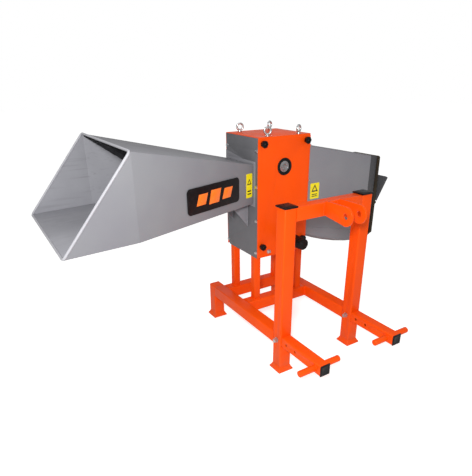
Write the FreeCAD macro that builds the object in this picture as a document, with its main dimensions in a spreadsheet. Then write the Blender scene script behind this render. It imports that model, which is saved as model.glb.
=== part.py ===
"""Tractor-mounted wood chipper: infeed hopper, belt-driven rotor housing, discharge chute and hitch frame.

While modelling, X = 0 is the middle of the hitch frame or of the housing, Y = 0 the front face of the
hitch mast, Z = 0 the ground. The tractor stands at -Y, the infeed hopper points to -X and the discharge
chute to +X. offset_housing() shifts the housing and all it carries sideways on the frame, and settle()
then moves every sub-part so that the origin is the middle of the bounding box's bottom face.
"""
import FreeCAD, Part
import Sketcher
import math
import os

Vector = FreeCAD.Vector
Rotation = FreeCAD.Rotation
Placement = FreeCAD.Placement

DIMENSIONS = (
    # hitch frame, square tube
    ("tube_side", 60), ("tube_wall", 4), ("tube_round", 6),
    ("mast_span", 430), ("mast_top", 780), ("rail_height", 163), ("rail_length", 618),
    ("foot_side", 81), ("foot_thick", 10), ("post_side", 36), ("post_wall", 3),
    ("front_member_front", 355), ("rear_member_front", 554),
    ("cap_overhang", 3), ("cap_head", 7), ("cap_plug", 14),
    # telescopic hitch arms
    ("arm_side", 50), ("arm_wall", 5), ("arm_ahead", 260), ("arm_length", 480),
    ("pin_dia", 28), ("pin_shank_dia", 26), ("pin_across", 216), ("pin_ahead", 227), ("pin_chamfer", 2.5),
    ("lock_pitch", 62), ("lock_dia", 12),
    # top link ears
    ("ear_gap", 64), ("ear_thick", 10), ("ear_reach", 125), ("ear_round", 40), ("ear_hole", 25.8),
    ("ear_height", 749), ("ear_root", 727),
    # housing
    ("housing_width", 304), ("housing_offset", 8), ("housing_front", 345), ("housing_depth", 287),
    ("housing_base", 432), ("housing_top", 1014), ("cover_sheet", 3), ("side_sheet", 4),
    ("wall_plate", 8), ("wall_front", 370), ("cover_bolt_side", 84), ("cover_bolt_rise", 26),
    # rotor and drive
    ("rotor_height", 872), ("rotor_sweep", 128), ("disc_radius", 104), ("disc_thick", 12),
    ("rotor_shaft_dia", 40), ("rod_circle", 74), ("rod_dia", 14), ("rotor_pulley_radius", 45),
    ("drive_height", 530), ("drive_shaft_dia", 35), ("drive_tip", 190), ("drive_pulley_radius", 85),
    ("pulley_width", 20), ("pulley_front", 349.5), ("belt_width", 16), ("belt_thick", 9),
    ("cap_dia", 57), ("cap_front", 174), ("cap_length", 128),
    ("screen_radius", 138), ("screen_hole", 24),
    # cover fittings
    ("knob_dia", 34), ("knob_length", 18), ("knob_side", 126), ("knob_high", 985), ("knob_low", 492),
    ("window_dia", 74),
    # infeed hopper
    ("hopper_sheet", 3), ("throat_front", 379), ("throat_rear", 615), ("throat_low", 707),
    ("throat_high", 891), ("mouth_front", 165), ("mouth_rear", 830), ("crease_reach", 800),
    ("crease_low", 700), ("crease_high", 1031), ("lip_reach", 1075), ("lip_low", 689),
    ("rim_width", 16), ("rim_thick", 5), ("baffle_start", 797), ("baffle_end", 620), ("baffle_top", 1023),
    ("baffle_foot", 891),
    # discharge chute
    ("chute_sheet", 3), ("chute_front", 350), ("chute_rear", 615), ("chute_bend", 588),
    ("chute_end", 678), ("chute_turn", 36), ("chute_root_high", 957), ("chute_bend_high", 871),
    ("chute_end_high", 852), ("belly_radius", 1385), ("belly_low", 375), ("belly_bottom_reach", 712),
    ("sill_high", 586), ("belly_roll", 34), ("rim_depth", 20), 
    ("flap_reach", 80), ("flap_rise", 140), ("flap_pin_dia", 8),
    # badge on the hopper
    ("badge_length", 324), ("badge_tall", 110), ("badge_thick", 3), ("badge_along", 273),
    ("badge_height", 798),
)

doc = FreeCAD.newDocument("WoodChipper")
sheet = doc.addObject("Spreadsheet::Sheet", "Dims")
for row, (alias, value) in enumerate(DIMENSIONS, start=1):
    sheet.set("A%d" % row, str(value))
    sheet.setAlias("A%d" % row, alias)
doc.recompute()


class SheetValues:
    """Reads a driving dimension from the spreadsheet by its alias."""

    def __getattr__(self, alias):
        return float(sheet.get(alias))


dims = SheetValues()
ALIASES = {alias for alias, value in DIMENSIONS}
subparts = []

ALONG_Z = Rotation()
ALONG_X = Rotation(Vector(0, 1, 0), 90)
ALONG_Y = Rotation(Vector(1, 0, 0), -90)
AHEAD_Y = Rotation(Vector(1, 0, 0), 90)
SIDES = (("left", -1), ("right", 1))


# ---------------------------------------------------------------- toolkit
def bound(expression):
    """Prefix every alias in an expression with the sheet's name."""
    words = str(expression).split(" ")
    return " ".join("Dims." + word if word in ALIASES else word for word in words)


def bind(item, **sizes):
    """Bind properties of a document object to expressions over the sheet."""
    for name, expression in sizes.items():
        item.setExpression(name, bound(expression))
    return item


def place(item, at, turn=ALONG_Z):
    item.Placement = Placement(Vector(*at), turn)
    return item


def box(name, length, width, height, at, turn=ALONG_Z):
    """Box from expressions, with its low corner at a point."""
    item = bind(doc.addObject("Part::Box", name), Length=length, Width=width, Height=height)
    return place(item, at, turn)


def rod(name, radius, height, at, turn=ALONG_Z):
    """Cylinder from expressions, from a point along its turned Z axis."""
    item = bind(doc.addObject("Part::Cylinder", name), Radius=radius, Height=height)
    return place(item, at, turn)


def cut(name, base, *tools):
    item = doc.addObject("Part::Cut", name)
    item.Base = base
    item.Tool = tools[0] if len(tools) == 1 else fuse(name + "_tools", *tools)
    return item


def fuse(name, *items):
    item = doc.addObject("Part::MultiFuse", name)
    item.Shapes = list(items)
    return item


def group(name, items):
    """Several separate solids that share one node."""
    item = doc.addObject("Part::Compound", name)
    item.Links = list(items)
    return item


def subpart(item, label):
    """Name a finished sub-part after its node and remember it for export."""
    item.Label = label
    subparts.append(item)
    return item


def shaped(label, shape):
    """Sub-part whose shape comes from Part's own functions."""
    item = doc.addObject("Part::Feature", label)
    item.Shape = shape
    return item


def origin_plane(body, role):
    return [feature for feature in body.Origin.OriginFeatures if feature.Role == role][0]


def new_body(name):
    return doc.addObject("PartDesign::Body", name)


def new_sketch(body, name, role, lift=(0, 0, 0)):
    """Sketch on one of the body's own origin planes, shifted within that plane's axes."""
    sketch = body.newObject("Sketcher::SketchObject", name)
    sketch.AttachmentSupport = [(origin_plane(body, role), "")]
    sketch.MapMode = "FlatFace"
    sketch.AttachmentOffset = Placement(Vector(*lift), Rotation())
    return sketch


def sketch_rectangle(sketch, width, height):
    """Rectangle centred on the sketch's origin, with bound width and height."""
    corners = [Vector(-10, -5, 0), Vector(10, -5, 0), Vector(10, 5, 0), Vector(-10, 5, 0)]
    for index in range(4):
        sketch.addGeometry(Part.LineSegment(corners[index], corners[(index + 1) % 4]), False)
    for index in range(4):
        sketch.addConstraint(Sketcher.Constraint("Coincident", index, 2, (index + 1) % 4, 1))
    for index, kind in enumerate(("Horizontal", "Vertical", "Horizontal", "Vertical")):
        sketch.addConstraint(Sketcher.Constraint(kind, index))
    sketch.addConstraint(Sketcher.Constraint("Symmetric", 0, 1, 1, 2, -1, 1))
    across = sketch.addConstraint(Sketcher.Constraint("DistanceX", 0, 1, 0, 2, 20.0))
    upward = sketch.addConstraint(Sketcher.Constraint("DistanceY", 1, 1, 1, 2, 10.0))
    sketch.setExpression("Constraints[%d]" % across, bound(width))
    sketch.setExpression("Constraints[%d]" % upward, bound(height))


def sketch_circles(sketch, circles):
    """Circles at given centres; each radius is bound to an expression."""
    for across, upward, radius in circles:
        outline = Part.Circle(Vector(across, upward, 0), Vector(0, 0, 1), 5.0)
        circle = sketch.addGeometry(outline, False)
        size = sketch.addConstraint(Sketcher.Constraint("Radius", circle, 5.0))
        sketch.setExpression("Constraints[%d]" % size, bound(radius))


def sketch_outline(sketch, points):
    """Closed straight-sided outline through the points, corner to corner."""
    corners = [Vector(across, upward, 0) for across, upward in points]
    last = len(corners)
    for index in range(last):
        sketch.addGeometry(Part.LineSegment(corners[index], corners[(index + 1) % last]), False)
    for index in range(last):
        sketch.addConstraint(Sketcher.Constraint("Coincident", index, 2, (index + 1) % last, 1))


def pad(body, sketch, length, midplane=False):
    feature = body.newObject("PartDesign::Pad", body.Name + "_pad")
    feature.Profile = sketch
    feature.Midplane = midplane
    bind(feature, Length=length)
    sketch.Visibility = False
    doc.recompute()
    return feature


def pocket(body, sketch, midplane=True):
    """Pocket through all the body, to both sides of the sketch unless told otherwise."""
    feature = body.newObject("PartDesign::Pocket", body.Name + "_pocket")
    feature.Profile = sketch
    feature.Type = "ThroughAll"
    feature.Midplane = midplane
    before = body.Shape.Volume
    doc.recompute()
    if body.Shape.Volume >= before:
        raise RuntimeError("pocket in %s removes nothing" % body.Name)
    return feature


def edges_along(feature, direction, chosen=lambda point: True):
    """Names of the feature's straight edges parallel to a direction, filtered by their middle."""
    names = []
    for index, edge in enumerate(feature.Shape.Edges, start=1):
        if edge.Curve.TypeId != "Part::GeomLine":
            continue
        along = edge.tangentAt(edge.FirstParameter)
        if abs(along.dot(direction)) > 0.999 and chosen(edge.CenterOfMass):
            names.append("Edge%d" % index)
    return names


def round_edges(body, feature, direction, radius, chosen=lambda point: True):
    names = edges_along(feature, direction, chosen)
    if not names:
        raise RuntimeError("no edges to round in %s" % body.Name)
    fillet = body.newObject("PartDesign::Fillet", body.Name + "_fillet")
    fillet.Base = (feature, names)
    bind(fillet, Radius=radius)
    doc.recompute()
    return fillet


def square_tube(name, side, wall, length, corner):
    """Hollow section along +Z, centred on the axis, with rounded outer corners."""
    body = new_body(name)
    outer = new_sketch(body, name + "_outer", "XY_Plane")
    sketch_rectangle(outer, side, side)
    solid = pad(body, outer, length)
    round_edges(body, solid, Vector(0, 0, 1), corner)
    inner = new_sketch(body, name + "_inner", "XY_Plane")
    clear = side + " - 2 * " + wall
    sketch_rectangle(inner, clear, clear)
    pocket(body, inner)
    return body


def plate(name, role, outline, thick, windows=(), holes=(), midplane=False):
    """Flat plate: outline and windows as corner lists in the plane, holes as bound circles."""
    body = new_body(name)
    profile = new_sketch(body, name + "_outline", role)
    sketch_outline(profile, outline)
    pad(body, profile, thick, midplane)
    for index, window in enumerate(windows):
        opening = new_sketch(body, "%s_window%d" % (name, index), role)
        sketch_outline(opening, window)
        pocket(body, opening)
    if holes:
        drilled = new_sketch(body, name + "_holes", role)
        sketch_circles(drilled, holes)
        pocket(body, drilled)
    return body


def rectangle(low_across, low_upward, high_across, high_upward):
    return [(low_across, low_upward), (high_across, low_upward),
            (high_across, high_upward), (low_across, high_upward)]


def hex_bolt(name, at, turn, across_flats, head, washer_radius, washer_thick, shank_radius, shank):
    """Hexagon-head bolt with washer; its turned Z axis points out of the joint."""
    turned = turn.multVec(Vector(0, 0, 1))
    seat = Vector(*at)
    hexagon = doc.addObject("Part::Prism", name + "_head")
    hexagon.Polygon = 6
    bind(hexagon, Circumradius="%s / 2 / cos(30)" % across_flats, Height=head)
    place(hexagon, seat + turned * washer_thick, turn)
    washer = rod(name + "_washer", washer_radius, washer_thick, seat, turn)
    stem = rod(name + "_stem", shank_radius, shank + washer_thick, seat - turned * shank, turn)
    return fuse(name, hexagon, washer, stem)


def solid_from_faces(faces):
    shell = Part.makeShell([Part.Face(Part.makePolygon(list(face) + [face[0]])) for face in faces])
    solid = Part.makeSolid(shell)
    if solid.Volume < 0:
        solid.reverse()
    return solid


def slab(outer, inner):
    """Sheet between two matching four-cornered faces."""
    outer = [Vector(*point) for point in outer]
    inner = [Vector(*point) for point in inner]
    faces = [outer, inner[::-1]]
    for index in range(4):
        after = (index + 1) % 4
        faces.append([outer[index], inner[index], inner[after], outer[after]])
    return solid_from_faces(faces)


def prism(points, push):
    """Flat polygon pushed along a vector."""
    ring = [Vector(*point) for point in points]
    return Part.Face(Part.makePolygon(ring + [ring[0]])).extrude(Vector(*push))


# ---------------------------------------------------------------- hitch frame
HALF_TUBE = dims.tube_side / 2
MAST_X = dims.mast_span / 2
RAIL_TOP = dims.rail_height + HALF_TUBE
TUBE_INNER = "tube_side - 2 * tube_wall"


def make_uprights():
    for side, sign in SIDES:
        name = side + "_upright"
        body = square_tube(name, "tube_side", "tube_wall", "mast_top - foot_thick", "tube_round")
        lift = dims.rail_height - dims.foot_thick
        window = new_sketch(body, name + "_window", "XZ_Plane", (0, lift, 0))
        sketch_rectangle(window, TUBE_INNER, TUBE_INNER)
        pocket(body, window)
        bolt_hole = new_sketch(body, name + "_bolt_hole", "YZ_Plane", (0, lift, 0))
        sketch_circles(bolt_hole, [(0, 0, "lock_dia / 2 + 0.2")])
        pocket(body, bolt_hole, midplane=False)
        place(body, (sign * MAST_X, HALF_TUBE, dims.foot_thick))
        subpart(body, name)


def make_rails():
    for side, sign in SIDES:
        name = side + "_rail"
        body = square_tube(name, "tube_side", "tube_wall", "rail_length - tube_side", "tube_round")
        place(body, (sign * MAST_X, dims.tube_side, dims.rail_height), ALONG_Y)
        subpart(body, name)


def make_rear_legs():
    legs = []
    for side, sign in SIDES:
        name = side + "_rear_leg"
        body = new_body(name)
        outer = new_sketch(body, name + "_outer", "XY_Plane")
        sketch_rectangle(outer, "tube_side", "tube_side")
        solid = pad(body, outer, "rail_height + tube_side / 2 - foot_thick")
        rounded = round_edges(body, solid, Vector(0, 0, 1), "tube_round")
        height = dims.rail_height + HALF_TUBE - dims.foot_thick
        round_edges(body, rounded, Vector(1, 0, 0), "tube_round",
                    lambda point: point.z > height - 1 and point.y > 0)
        inner = new_sketch(body, name + "_inner", "XY_Plane")
        sketch_rectangle(inner, TUBE_INNER, TUBE_INNER)
        hollow = body.newObject("PartDesign::Pocket", name + "_hollow")
        hollow.Profile = inner
        hollow.Reversed = True
        bind(hollow, Length="rail_height + tube_side / 2 - foot_thick - tube_wall")
        doc.recompute()
        legs.append(place(body, (sign * MAST_X, dims.rail_length + HALF_TUBE, dims.foot_thick)))
    subpart(group("rear_leg_pair", legs), "rear_legs")


def make_feet():
    feet = []
    for side, sign in SIDES:
        for end, centre in (("front", HALF_TUBE), ("rear", dims.rail_length + HALF_TUBE)):
            name = "%s_%s_foot" % (side, end)
            body = new_body(name)
            outline = new_sketch(body, name + "_outline", "XY_Plane")
            sketch_rectangle(outline, "foot_side", "foot_side")
            solid = pad(body, outline, "foot_thick")
            rounded = round_edges(body, solid, Vector(0, 0, 1), "tube_round * 2")
            top_edges = ["Edge%d" % index for index, edge in enumerate(rounded.Shape.Edges, start=1)
                         if edge.BoundBox.ZMin > dims.foot_thick - 0.01]
            chamfer = body.newObject("PartDesign::Chamfer", name + "_chamfer")
            chamfer.Base = (rounded, top_edges)
            bind(chamfer, Size="foot_thick * 0.6")
            doc.recompute()
            feet.append(place(body, (sign * MAST_X, centre, 0)))
    subpart(group("foot_set", feet), "foot_plates")


def make_crossmembers():
    members = []
    fronts = (("front_member", dims.front_member_front), ("rear_member", dims.rear_member_front))
    for name, front in fronts:
        body = square_tube(name, "tube_side", "tube_wall", "mast_span - tube_side", "tube_round")
        start = -MAST_X + HALF_TUBE
        members.append(place(body, (start, front + HALF_TUBE, dims.rail_height), ALONG_X))
    subpart(group("member_pair", members), "crossmembers")
    crossbar = square_tube("crossbar", "tube_side", "tube_wall", "mast_span - tube_side", "tube_round")
    place(crossbar, (-MAST_X + HALF_TUBE, HALF_TUBE, dims.mast_top - HALF_TUBE), ALONG_X)
    subpart(crossbar, "mast_crossbar")


def make_ears():
    """Two plates welded to the crossbar's front face; the tractor's top link is pinned between them."""
    ears = []
    centre = (-dims.ear_reach, dims.ear_height)
    top = dims.ear_height + dims.ear_round
    tip = dims.ear_height - dims.ear_round
    lean = math.radians(20)
    low = (centre[0] + dims.ear_round * math.sin(lean), centre[1] - dims.ear_round * math.cos(lean))
    outline = [(0, dims.ear_root), (0, top - 9), (-14, top), (centre[0], top), centre, low]
    for side, sign in SIDES:
        name = side + "_ear"
        web = prism([(0, across, upward) for across, upward in outline], (dims.ear_thick, 0, 0))
        middle, across = Vector(0, centre[0], centre[1]), Vector(1, 0, 0)
        end = Part.makeCylinder(dims.ear_round, dims.ear_thick, middle, across)
        hole = Part.makeCylinder(dims.ear_hole / 2, dims.ear_thick, middle, across)
        ear = shaped(name, web.fuse(end).cut(hole).removeSplitter())
        start = dims.ear_gap / 2 if sign > 0 else -dims.ear_gap / 2 - dims.ear_thick
        ears.append(place(ear, (start, 0, 0)))
    if tip > dims.ear_root:
        raise RuntimeError("the ear's round end must reach below its root")
    subpart(group("ear_pair", ears), "top_link_ears")


def make_upright_caps():
    caps = []
    for side, sign in SIDES:
        name = side + "_cap"
        wide = "tube_side + 2 * cap_overhang"
        low = sign * MAST_X - HALF_TUBE
        head = box(name + "_head", wide, wide, "cap_head",
                   (low - dims.cap_overhang, -dims.cap_overhang, dims.mast_top))
        plug = box(name + "_plug", TUBE_INNER, TUBE_INNER, "cap_plug",
                   (low + dims.tube_wall, dims.tube_wall, dims.mast_top - dims.cap_plug))
        caps.append(fuse(name, head, plug))
    subpart(group("cap_pair", caps), "upright_caps")


def make_posts():
    """Four posts from the crossmembers to the housing's floor."""
    posts = []
    half = dims.post_side / 2
    rows = (("front", dims.front_member_front), ("rear", dims.rear_member_front))
    for end, front in rows:
        for side, sign in SIDES:
            name = "%s_%s_post" % (side, end)
            length = "housing_base - rail_height - tube_side / 2"
            body = square_tube(name, "post_side", "post_wall", length, "post_wall")
            across = sign * (dims.housing_width / 2 - half)
            posts.append(place(body, (across, front + HALF_TUBE, RAIL_TOP)))
    subpart(group("post_set", posts), "housing_posts")


def make_lock_bolts():
    """Clamp screws with their lock nuts; each tip bears on its hitch arm."""
    bolts = []
    reach = dims.tube_side / 2 - dims.arm_side / 2 - 0.3
    nut_height, washer = 9, 2.5
    outward = Rotation(Vector(0, 1, 0), -90)
    for side, sign in SIDES:
        seat = (sign * MAST_X - HALF_TUBE, HALF_TUBE, dims.rail_height)
        nut = hex_bolt(side + "_lock_nut", seat, outward, "19", "%g" % nut_height, "12", washer,
                       "lock_dia / 2", reach)
        top = (seat[0] - washer - nut_height, seat[1], seat[2])
        head = hex_bolt(side + "_lock_head", top, outward, "17", "6", "7", 0.4, "lock_dia / 2", 1)
        bolts.append(fuse(side + "_lock", nut, head))
    subpart(group("lock_pair", bolts), "hitch_lock_bolts")


def make_hitch_pin(side, middle):
    """Cross pin: a shank through the arm and a thicker chamfered stub on each side of it."""
    shoulder = dims.arm_side / 2 + 1
    shank = rod(side + "_pin_shank", "pin_shank_dia / 2", "arm_side + 2",
                (middle - shoulder, -dims.pin_ahead, dims.rail_height), ALONG_X)
    stubs = []
    for end, sign in SIDES:
        start = shoulder if sign > 0 else -dims.pin_across / 2
        stub = rod("%s_pin_%s_stub" % (side, end), "pin_dia / 2", "pin_across / 2 - arm_side / 2 - 1",
                   (middle + start, -dims.pin_ahead, dims.rail_height), ALONG_X)
        doc.recompute()
        tip = middle + sign * dims.pin_across / 2
        chamfered = doc.addObject("Part::Chamfer", "%s_pin_%s_tip" % (side, end))
        chamfered.Base = stub
        chamfered.Edges = [(index, dims.pin_chamfer, dims.pin_chamfer)
                           for index, edge in enumerate(stub.Shape.Edges, start=1)
                           if edge.BoundBox.XLength < 1 and abs(edge.CenterOfMass.x - tip) < 1]
        stubs.append(chamfered)
    subpart(fuse(side + "_pin", shank, *stubs), side + "_hitch_pin")


def make_hitch_arms():
    rear_end = dims.arm_length - dims.arm_ahead
    for side, sign in SIDES:
        name = side + "_hitch_arm"
        body = square_tube(name, "arm_side", "arm_wall", "arm_length", "tube_round")
        lock = [(0, rear_end - HALF_TUBE + step * dims.lock_pitch, "lock_dia / 2 + 0.5")
                for step in range(3)]
        holes = new_sketch(body, name + "_holes", "YZ_Plane")
        sketch_circles(holes, lock + [(0, rear_end + dims.pin_ahead, "pin_shank_dia / 2")])
        pocket(body, holes)
        place(body, (sign * MAST_X, rear_end, dims.rail_height), AHEAD_Y)
        subpart(body, name)
        make_hitch_pin(side, sign * MAST_X)
        head = box(side + "_arm_cap_head", "arm_side", "4", "arm_side",
                   (sign * MAST_X - dims.arm_side / 2, -dims.arm_ahead - 4,
                    dims.rail_height - dims.arm_side / 2))
        inner = dims.arm_side / 2 - dims.arm_wall
        plug = box(side + "_arm_cap_plug", "arm_side - 2 * arm_wall", "16", "arm_side - 2 * arm_wall",
                   (sign * MAST_X - inner, -dims.arm_ahead, dims.rail_height - inner))
        subpart(fuse(side + "_arm_plug", head, plug), side + "_arm_cap")


# ---------------------------------------------------------------- housing
HALF_WIDTH = dims.housing_width / 2
HOUSING_REAR = dims.housing_front + dims.housing_depth
CHAMBER_FRONT = dims.wall_front + dims.wall_plate
CHAMBER_REAR = HOUSING_REAR - dims.cover_sheet
SHELL_TOP = dims.housing_top - dims.cover_sheet
COVER_BACK = dims.housing_front + dims.cover_sheet
EYE_SIDE = 90
EYE_ROWS = (("front", COVER_BACK + 14), ("rear", HOUSING_REAR - 32))
# side plate bolts: column's place along Y, and the levels it has
BOLT_COLUMNS = {"front": (COVER_BACK + 7, (0, 1, 2, 3)), "rear": (dims.throat_rear + 2, (0, 3))}


def bolt_level(level):
    return dims.housing_base + 29 + level * 164


def belly_height(reach):
    """Height of the chute's curved underside at a distance from the machine's middle."""
    run = reach - dims.belly_bottom_reach
    return dims.belly_low + dims.belly_radius - math.sqrt(dims.belly_radius ** 2 - run ** 2)


def make_side_plates():
    """Infeed and discharge walls; the left one carries the hopper and the right one the chute."""
    low, high = dims.housing_base, SHELL_TOP
    front, rear = COVER_BACK, CHAMBER_REAR
    outline = [(front, low), (rear - 16, low), (rear, low + 34), (rear, high), (front, high)]
    sheet_in = dims.hopper_sheet
    throat = rectangle(dims.throat_front + sheet_in, dims.throat_low + sheet_in,
                       dims.throat_rear - sheet_in, dims.throat_high - sheet_in)
    drilled = [(column, bolt_level(level), "4")
               for column, levels in BOLT_COLUMNS.values() for level in levels]
    infeed = plate("infeed_wall", "YZ_Plane", outline, "side_sheet", windows=[throat], holes=drilled)
    subpart(place(infeed, (-HALF_WIDTH, 0, 0)), "infeed_side_plate")
    start = belly_height(HALF_WIDTH)
    mouth = rectangle(CHAMBER_FRONT + 2, start + 6, dims.chute_rear - 6, dims.chute_root_high - 8)
    outlet = plate("outlet_wall", "YZ_Plane", outline, "side_sheet", windows=[mouth])
    subpart(place(outlet, (HALF_WIDTH - dims.side_sheet, 0, 0)), "discharge_side_plate")


def make_shell():
    """Rear and top in one bent sheet, and the floor."""
    front, rear = COVER_BACK, HOUSING_REAR
    base, top, sheet_in = dims.housing_base, dims.housing_top, dims.cover_sheet
    profile = [(front, top - sheet_in), (rear - sheet_in, top - sheet_in), (rear - sheet_in, base),
               (rear, base), (rear, top), (front, top)]
    body = new_body("bent_shell")
    outline = new_sketch(body, "bent_shell_outline", "YZ_Plane")
    sketch_outline(outline, profile)
    solid = pad(body, outline, "housing_width", midplane=True)
    round_edges(body, solid, Vector(1, 0, 0), "cover_sheet * 2",
                lambda point: point.y > rear - 1 and point.z > top - 1)
    drilled = new_sketch(body, "eye_holes", "XY_Plane")
    sketch_circles(drilled, [(sign * EYE_SIDE, row, "4.6")
                             for side, sign in SIDES for end, row in EYE_ROWS])
    pocket(body, drilled)
    subpart(body, "rear_top_shell")
    floor = box("floor_sheet", "housing_width - 2 * side_sheet", "housing_depth - 2 * cover_sheet - 16",
                "cover_sheet", (-HALF_WIDTH + dims.side_sheet, front, base))
    subpart(floor, "bottom_plate")


def make_bearing_plate():
    """Thick wall between the belt space and the rotor chamber."""
    outline = rectangle(-HALF_WIDTH + dims.side_sheet, dims.housing_base + dims.cover_sheet,
                        HALF_WIDTH - dims.side_sheet, SHELL_TOP)
    holes = [(0, dims.rotor_height, "rotor_shaft_dia / 2 + 4"),
             (0, dims.drive_height, "drive_shaft_dia / 2 + 4")]
    wall = plate("inner_wall", "XZ_Plane", outline, "wall_plate", holes=holes)
    subpart(place(wall, (0, CHAMBER_FRONT, 0)), "bearing_plate")


def make_bearings():
    """Flanged rotor bearings on the two walls, and the drive shaft's bearing tube."""
    bearings = []
    ends = (("front", CHAMBER_FRONT, ALONG_Y), ("rear", CHAMBER_REAR, AHEAD_Y))
    for name, seat, turn in ends:
        at = (0, seat, dims.rotor_height)
        flange = rod(name + "_flange", "rotor_shaft_dia * 1.25", "8", at, turn)
        boss = rod(name + "_boss", "rotor_shaft_dia * 0.9", "24", at, turn)
        bore = rod(name + "_bore", "rotor_shaft_dia / 2 + 0.05", "24", at, turn)
        bearings.append(cut(name + "_bearing", fuse(name + "_bearing_body", flange, boss), bore))
    at = (0, CHAMBER_FRONT, dims.drive_height)
    flange = rod("drive_flange", "50", "8", at, ALONG_Y)
    tube = rod("drive_tube", "38", "160", at, ALONG_Y)
    bore = rod("drive_bore", "drive_shaft_dia / 2 + 0.05", "160", at, ALONG_Y)
    bearings.append(cut("drive_bearing", fuse("drive_bearing_body", flange, tube), bore))
    subpart(group("bearing_set", bearings), "shaft_bearings")


def make_chip_ramp():
    """Plate under the rotor that leads the chips down into the chute."""
    left = -HALF_WIDTH + dims.side_sheet + 1
    right = HALF_WIDTH - dims.side_sheet - 0.5
    start = dims.throat_low - 12
    finish = belly_height(right)
    thick = dims.chute_sheet
    profile = [(left, 0, start), (right, 0, finish), (right, 0, finish + thick), (left, 0, start + thick)]
    front, rear = CHAMBER_FRONT + 3, dims.chute_rear - 7
    ramp = shaped("ramp_sheet", prism(profile, (0, rear - front, 0)))
    subpart(place(ramp, (0, front, 0)), "chip_ramp")


def make_counter_knife():
    """Bed that carries on the hopper's floor, with the fixed cutting bar at its end."""
    left = -HALF_WIDTH + dims.side_sheet
    back = -48
    edge = dims.rotor_height - math.sqrt((dims.rotor_sweep + 3) ** 2 - back ** 2)
    bed = dims.throat_low
    heel = back - 30
    profile = [(left, bed - 7), (back, bed - 7), (back, edge), (heel, edge - 4), (heel, bed), (left, bed)]
    front = CHAMBER_FRONT + 4
    length = dims.chute_rear - 4 - front
    bar = prism([(across, front, upward) for across, upward in profile], (0, length, 0))
    subpart(shaped("cutting_bar", bar), "counter_knife")


def make_screen():
    """Perforated trough below the rotor that holds chips back until they are small enough."""
    length = CHAMBER_REAR - CHAMBER_FRONT - 12
    centre = Vector(0, CHAMBER_FRONT + 6, dims.rotor_height)
    axis = Vector(0, 1, 0)
    outer = Part.makeCylinder(dims.screen_radius + 4, length, centre, axis)
    inner = Part.makeCylinder(dims.screen_radius, length, centre, axis)
    first, last = 257, 340
    reach = 2.5 * dims.screen_radius
    corners = [centre]
    for angle in (first, (first + last) / 2, last):
        turn = math.radians(angle)
        corners.append(centre + Vector(reach * math.cos(turn), 0, reach * math.sin(turn)))
    sector = Part.Face(Part.makePolygon(corners + [centre])).extrude(axis * length)
    trough = outer.cut(inner).common(sector)
    rows, columns = 4, 4
    for column in range(columns):
        turn = math.radians(first + (last - first) * (column + 1) / (columns + 1))
        out = Vector(math.cos(turn), 0, math.sin(turn))
        for line in range(rows):
            start = centre + axis * (length * (line + 1) / (rows + 1)) + out * (dims.screen_radius - 5)
            trough = trough.cut(Part.makeCylinder(dims.screen_hole / 2, 20, start, out))
    subpart(shaped("chip_screen", trough), "rotor_screen")


def make_housing_bolts():
    """Flange bolts down the infeed side plate, and two on the foot of the cover."""
    bolts = []
    for end, (column, levels) in BOLT_COLUMNS.items():
        for level in levels:
            seat = (-HALF_WIDTH, column, bolt_level(level))
            bolts.append(hex_bolt("%s_wall_bolt_%d" % (end, level), seat, Rotation(Vector(0, 1, 0), -90),
                                  "13", "5.5", "8", 1.6, "3.9", dims.side_sheet + 6))
    for side, sign in SIDES:
        seat = (sign * dims.cover_bolt_side, dims.housing_front, dims.housing_base + dims.cover_bolt_rise)
        bolts.append(hex_bolt(side + "_cover_bolt", seat, AHEAD_Y, "17", "7", "11", 2, "4.9", 10))
    subpart(group("bolt_set", bolts), "housing_bolts")


def make_lifting_eyes():
    eyes = []
    ring, wire = 15, 5
    for side, sign in SIDES:
        for end, row_y in EYE_ROWS:
            name = "%s_%s_eye" % (side, end)
            foot = (sign * EYE_SIDE, row_y, dims.housing_top)
            collar = rod(name + "_collar", "10", "6", foot)
            shank = rod(name + "_shank", "4.5", "14", (foot[0], foot[1], foot[2] - 14))
            loop = doc.addObject("Part::Torus", name + "_loop")
            loop.Radius1 = ring
            loop.Radius2 = wire
            turn = Rotation(Vector(0, 0, 1), 20 * sign).multiply(Rotation(Vector(1, 0, 0), 90))
            place(loop, (foot[0], foot[1], foot[2] + 4 + ring + wire), turn)
            eyes.append(fuse(name, collar, shank, loop))
    subpart(group("eye_set", eyes), "lifting_eyes")


# ---------------------------------------------------------------- front cover
def make_cover():
    outline = rectangle(-HALF_WIDTH, dims.housing_base, HALF_WIDTH, dims.housing_top)
    knob_holes = [(sign * dims.knob_side, height, "4.6")
                  for side, sign in SIDES for height in (dims.knob_low, dims.knob_high)]
    holes = [(0, dims.rotor_height, "window_dia / 2"), (0, dims.drive_height, "cap_dia / 2 + 4")]
    bolt_height = dims.housing_base + dims.cover_bolt_rise
    bolt_holes = [(sign * dims.cover_bolt_side, bolt_height, "5.1") for side, sign in SIDES]
    body = plate("cover_sheet_metal", "XZ_Plane", outline, "cover_sheet",
                 holes=holes + knob_holes + bolt_holes)
    round_edges(body, body.Tip, Vector(0, 1, 0), "cover_sheet * 4",
                lambda point: point.z > dims.housing_top - 1 and abs(point.x) > HALF_WIDTH - 1)
    subpart(place(body, (0, COVER_BACK, 0)), "front_cover")
    at = (0, dims.housing_front - 5, dims.rotor_height)
    lip = rod("ring_lip", "window_dia / 2 + 4", "5", at, ALONG_Y)
    neck = rod("ring_neck", "window_dia / 2 - 0.1", "8", at, ALONG_Y)
    bore = rod("ring_bore", "window_dia / 2 - 7", "8", at, ALONG_Y)
    subpart(cut("window_ring", fuse("ring_body", lip, neck), bore), "view_ring")


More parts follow.
